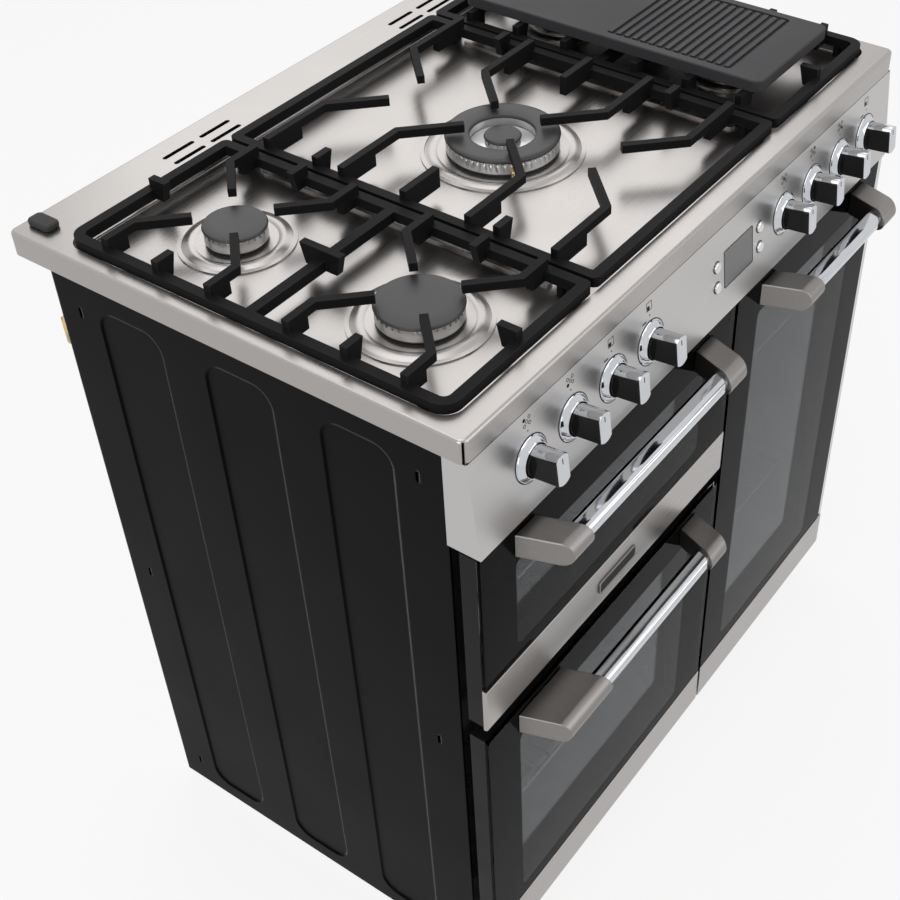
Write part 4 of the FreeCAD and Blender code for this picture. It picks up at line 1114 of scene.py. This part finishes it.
def rounded_plate(name, middle, size, corner):
    """A flat block with rounded corners that faces the front."""
    block = plain_bar(name, middle, size)
    pick(block, lambda place, way: abs(way.y) > size[1] * 0.9, "EDGE")
    bpy.ops.mesh.bevel(offset=corner, segments=6)
    done_editing()
    return block


plate_x, plate_z, plate_front = -0.194, 0.5465, -0.2789
plate_wide, plate_tall, plate_thick = 0.078, 0.0195, 0.0022
plate_rim, plate_sunk = 0.0022, 0.0008
plate = rounded_plate("bare_plate", (plate_x, plate_front + plate_thick / 2, plate_z),
                      (plate_wide, plate_thick, plate_tall), 0.0050)
pick(plate, lambda middle, normal: normal.y < -0.9)
bpy.ops.mesh.inset(thickness=plate_rim)
bpy.ops.mesh.extrude_region_move(TRANSFORM_OT_translate={"value": (0, plate_sunk, 0)})
done_editing()
settle(soften(plate, 0.0005), "door_upper_left", "handle_steel")

field_thick, field_gap = 0.0005, 0.0003
field_less = 2 * (plate_rim + field_gap)
field = rounded_plate("bare_plate_field", (plate_x, plate_front + plate_sunk - field_thick / 2, plate_z),
                      (plate_wide - field_less, field_thick, plate_tall - field_less), 0.0025)
settle(soften(field, 0.0001, 2), "door_upper_left", "door_frame_paint")

# %% [markdown]
# The side panels are pressed from thin black-coated sheet: three long sunk fields stiffen it.
# Their shoulders catch a thin line of light, so they get a real rounding.

# %% Side panels and gas fitting
nut_edge = 0.0008
remake("side_panels", "pressed_sides", sheet_edge, "cooker", "black_panel")
remake("gas_connector", "gas_nut", nut_edge, "cooker", "brass")

# %% [markdown]
# The back is a zinc-coated sheet that is never seen in a kitchen. It still needs air, so two groups
# of round-ended slots are punched through it. They are cut at one stroke by a tool made of many bars.

# %% Rear sheet
back_face = 0.28275
slot_size, slot_low, slot_pitch = (0.150, 0.02, 0.0065), 0.60, 0.019
slots = [soften(plain_bar("slot", (x, back_face, slot_low + row * slot_pitch), slot_size), 0.0031, 4)
         for x in (-0.21, 0.21) for row in range(9)]
punch = gather("punch", slots)
rear = merged_copy("rear_panel", "vented_back")
cut = rear.modifiers.new("slots", "BOOLEAN")
cut.operation = "DIFFERENCE"
cut.object = punch
only(rear)
bpy.ops.object.modifier_apply(modifier=cut.name)
bpy.data.objects.remove(punch)
settle(soften(rear, 0.0004, 2), "cooker", "zinc_steel", "rear_panel")

# %% [markdown]
# A pressed plate covers the mains terminals. Its middle is inset, drawn out and narrowed a little.

# %% Terminal cover
cover_x, cover_z = 0.247, 0.34
cover_wide, cover_thick, cover_tall = 0.135, 0.0018, 0.105
cover_rim, cover_drawn = 0.014, 0.0035
cover = plain_bar("terminal_cover", (cover_x, back_face + cover_thick / 2, cover_z),
                  (cover_wide, cover_thick, cover_tall))
pick(cover, lambda middle, normal: normal.y > 0.9)
bpy.ops.mesh.inset(thickness=cover_rim)
bpy.ops.mesh.extrude_region_move(TRANSFORM_OT_translate={"value": (0, cover_drawn, 0)})
bpy.ops.transform.resize(value=(0.95, 1, 0.93), center_override=(cover_x, back_face, cover_z))
done_editing()
settle(soften(cover, 0.0007), "cooker", "zinc_steel")

# %% [markdown]
# Screws hold the edge of the sheet and the cover. One is turned with a sunk drive and then copied.

# %% Screws
screw_section = [(0.0, -0.0002), (0.0042, -0.0002), (0.0042, 0.0007), (0.0036, 0.0016), (0.0024, 0.0021),
                 (0.0012, 0.0022), (0.0009, 0.0012), (0.0, 0.0012)]
screw = turned("screw", screw_section, 24)
screw.rotation_euler = (math.radians(-90), 0, 0)
fix_place(screw)
spots = [(sx * 0.432, z) for sx in (-1, 1) for z in (0.06, 0.25, 0.44, 0.63, 0.80)]
spots += [(x, z) for x in (-0.30, -0.10, 0.10, 0.30) for z in (0.03, 0.875)]
screws = [copy_at(screw, "screw_copy", (x, back_face, z)) for x, z in spots]
hold_x, hold_z, cover_face = 0.0605, 0.0455, back_face + cover_thick
screws += [copy_at(screw, "screw_copy", (cover_x + sx * hold_x, cover_face, cover_z + sz * hold_z))
           for sx in (-1, 1) for sz in (-1, 1)]
bpy.data.objects.remove(screw)
settle(gather("back_screws", screws), "cooker", "zinc_steel")
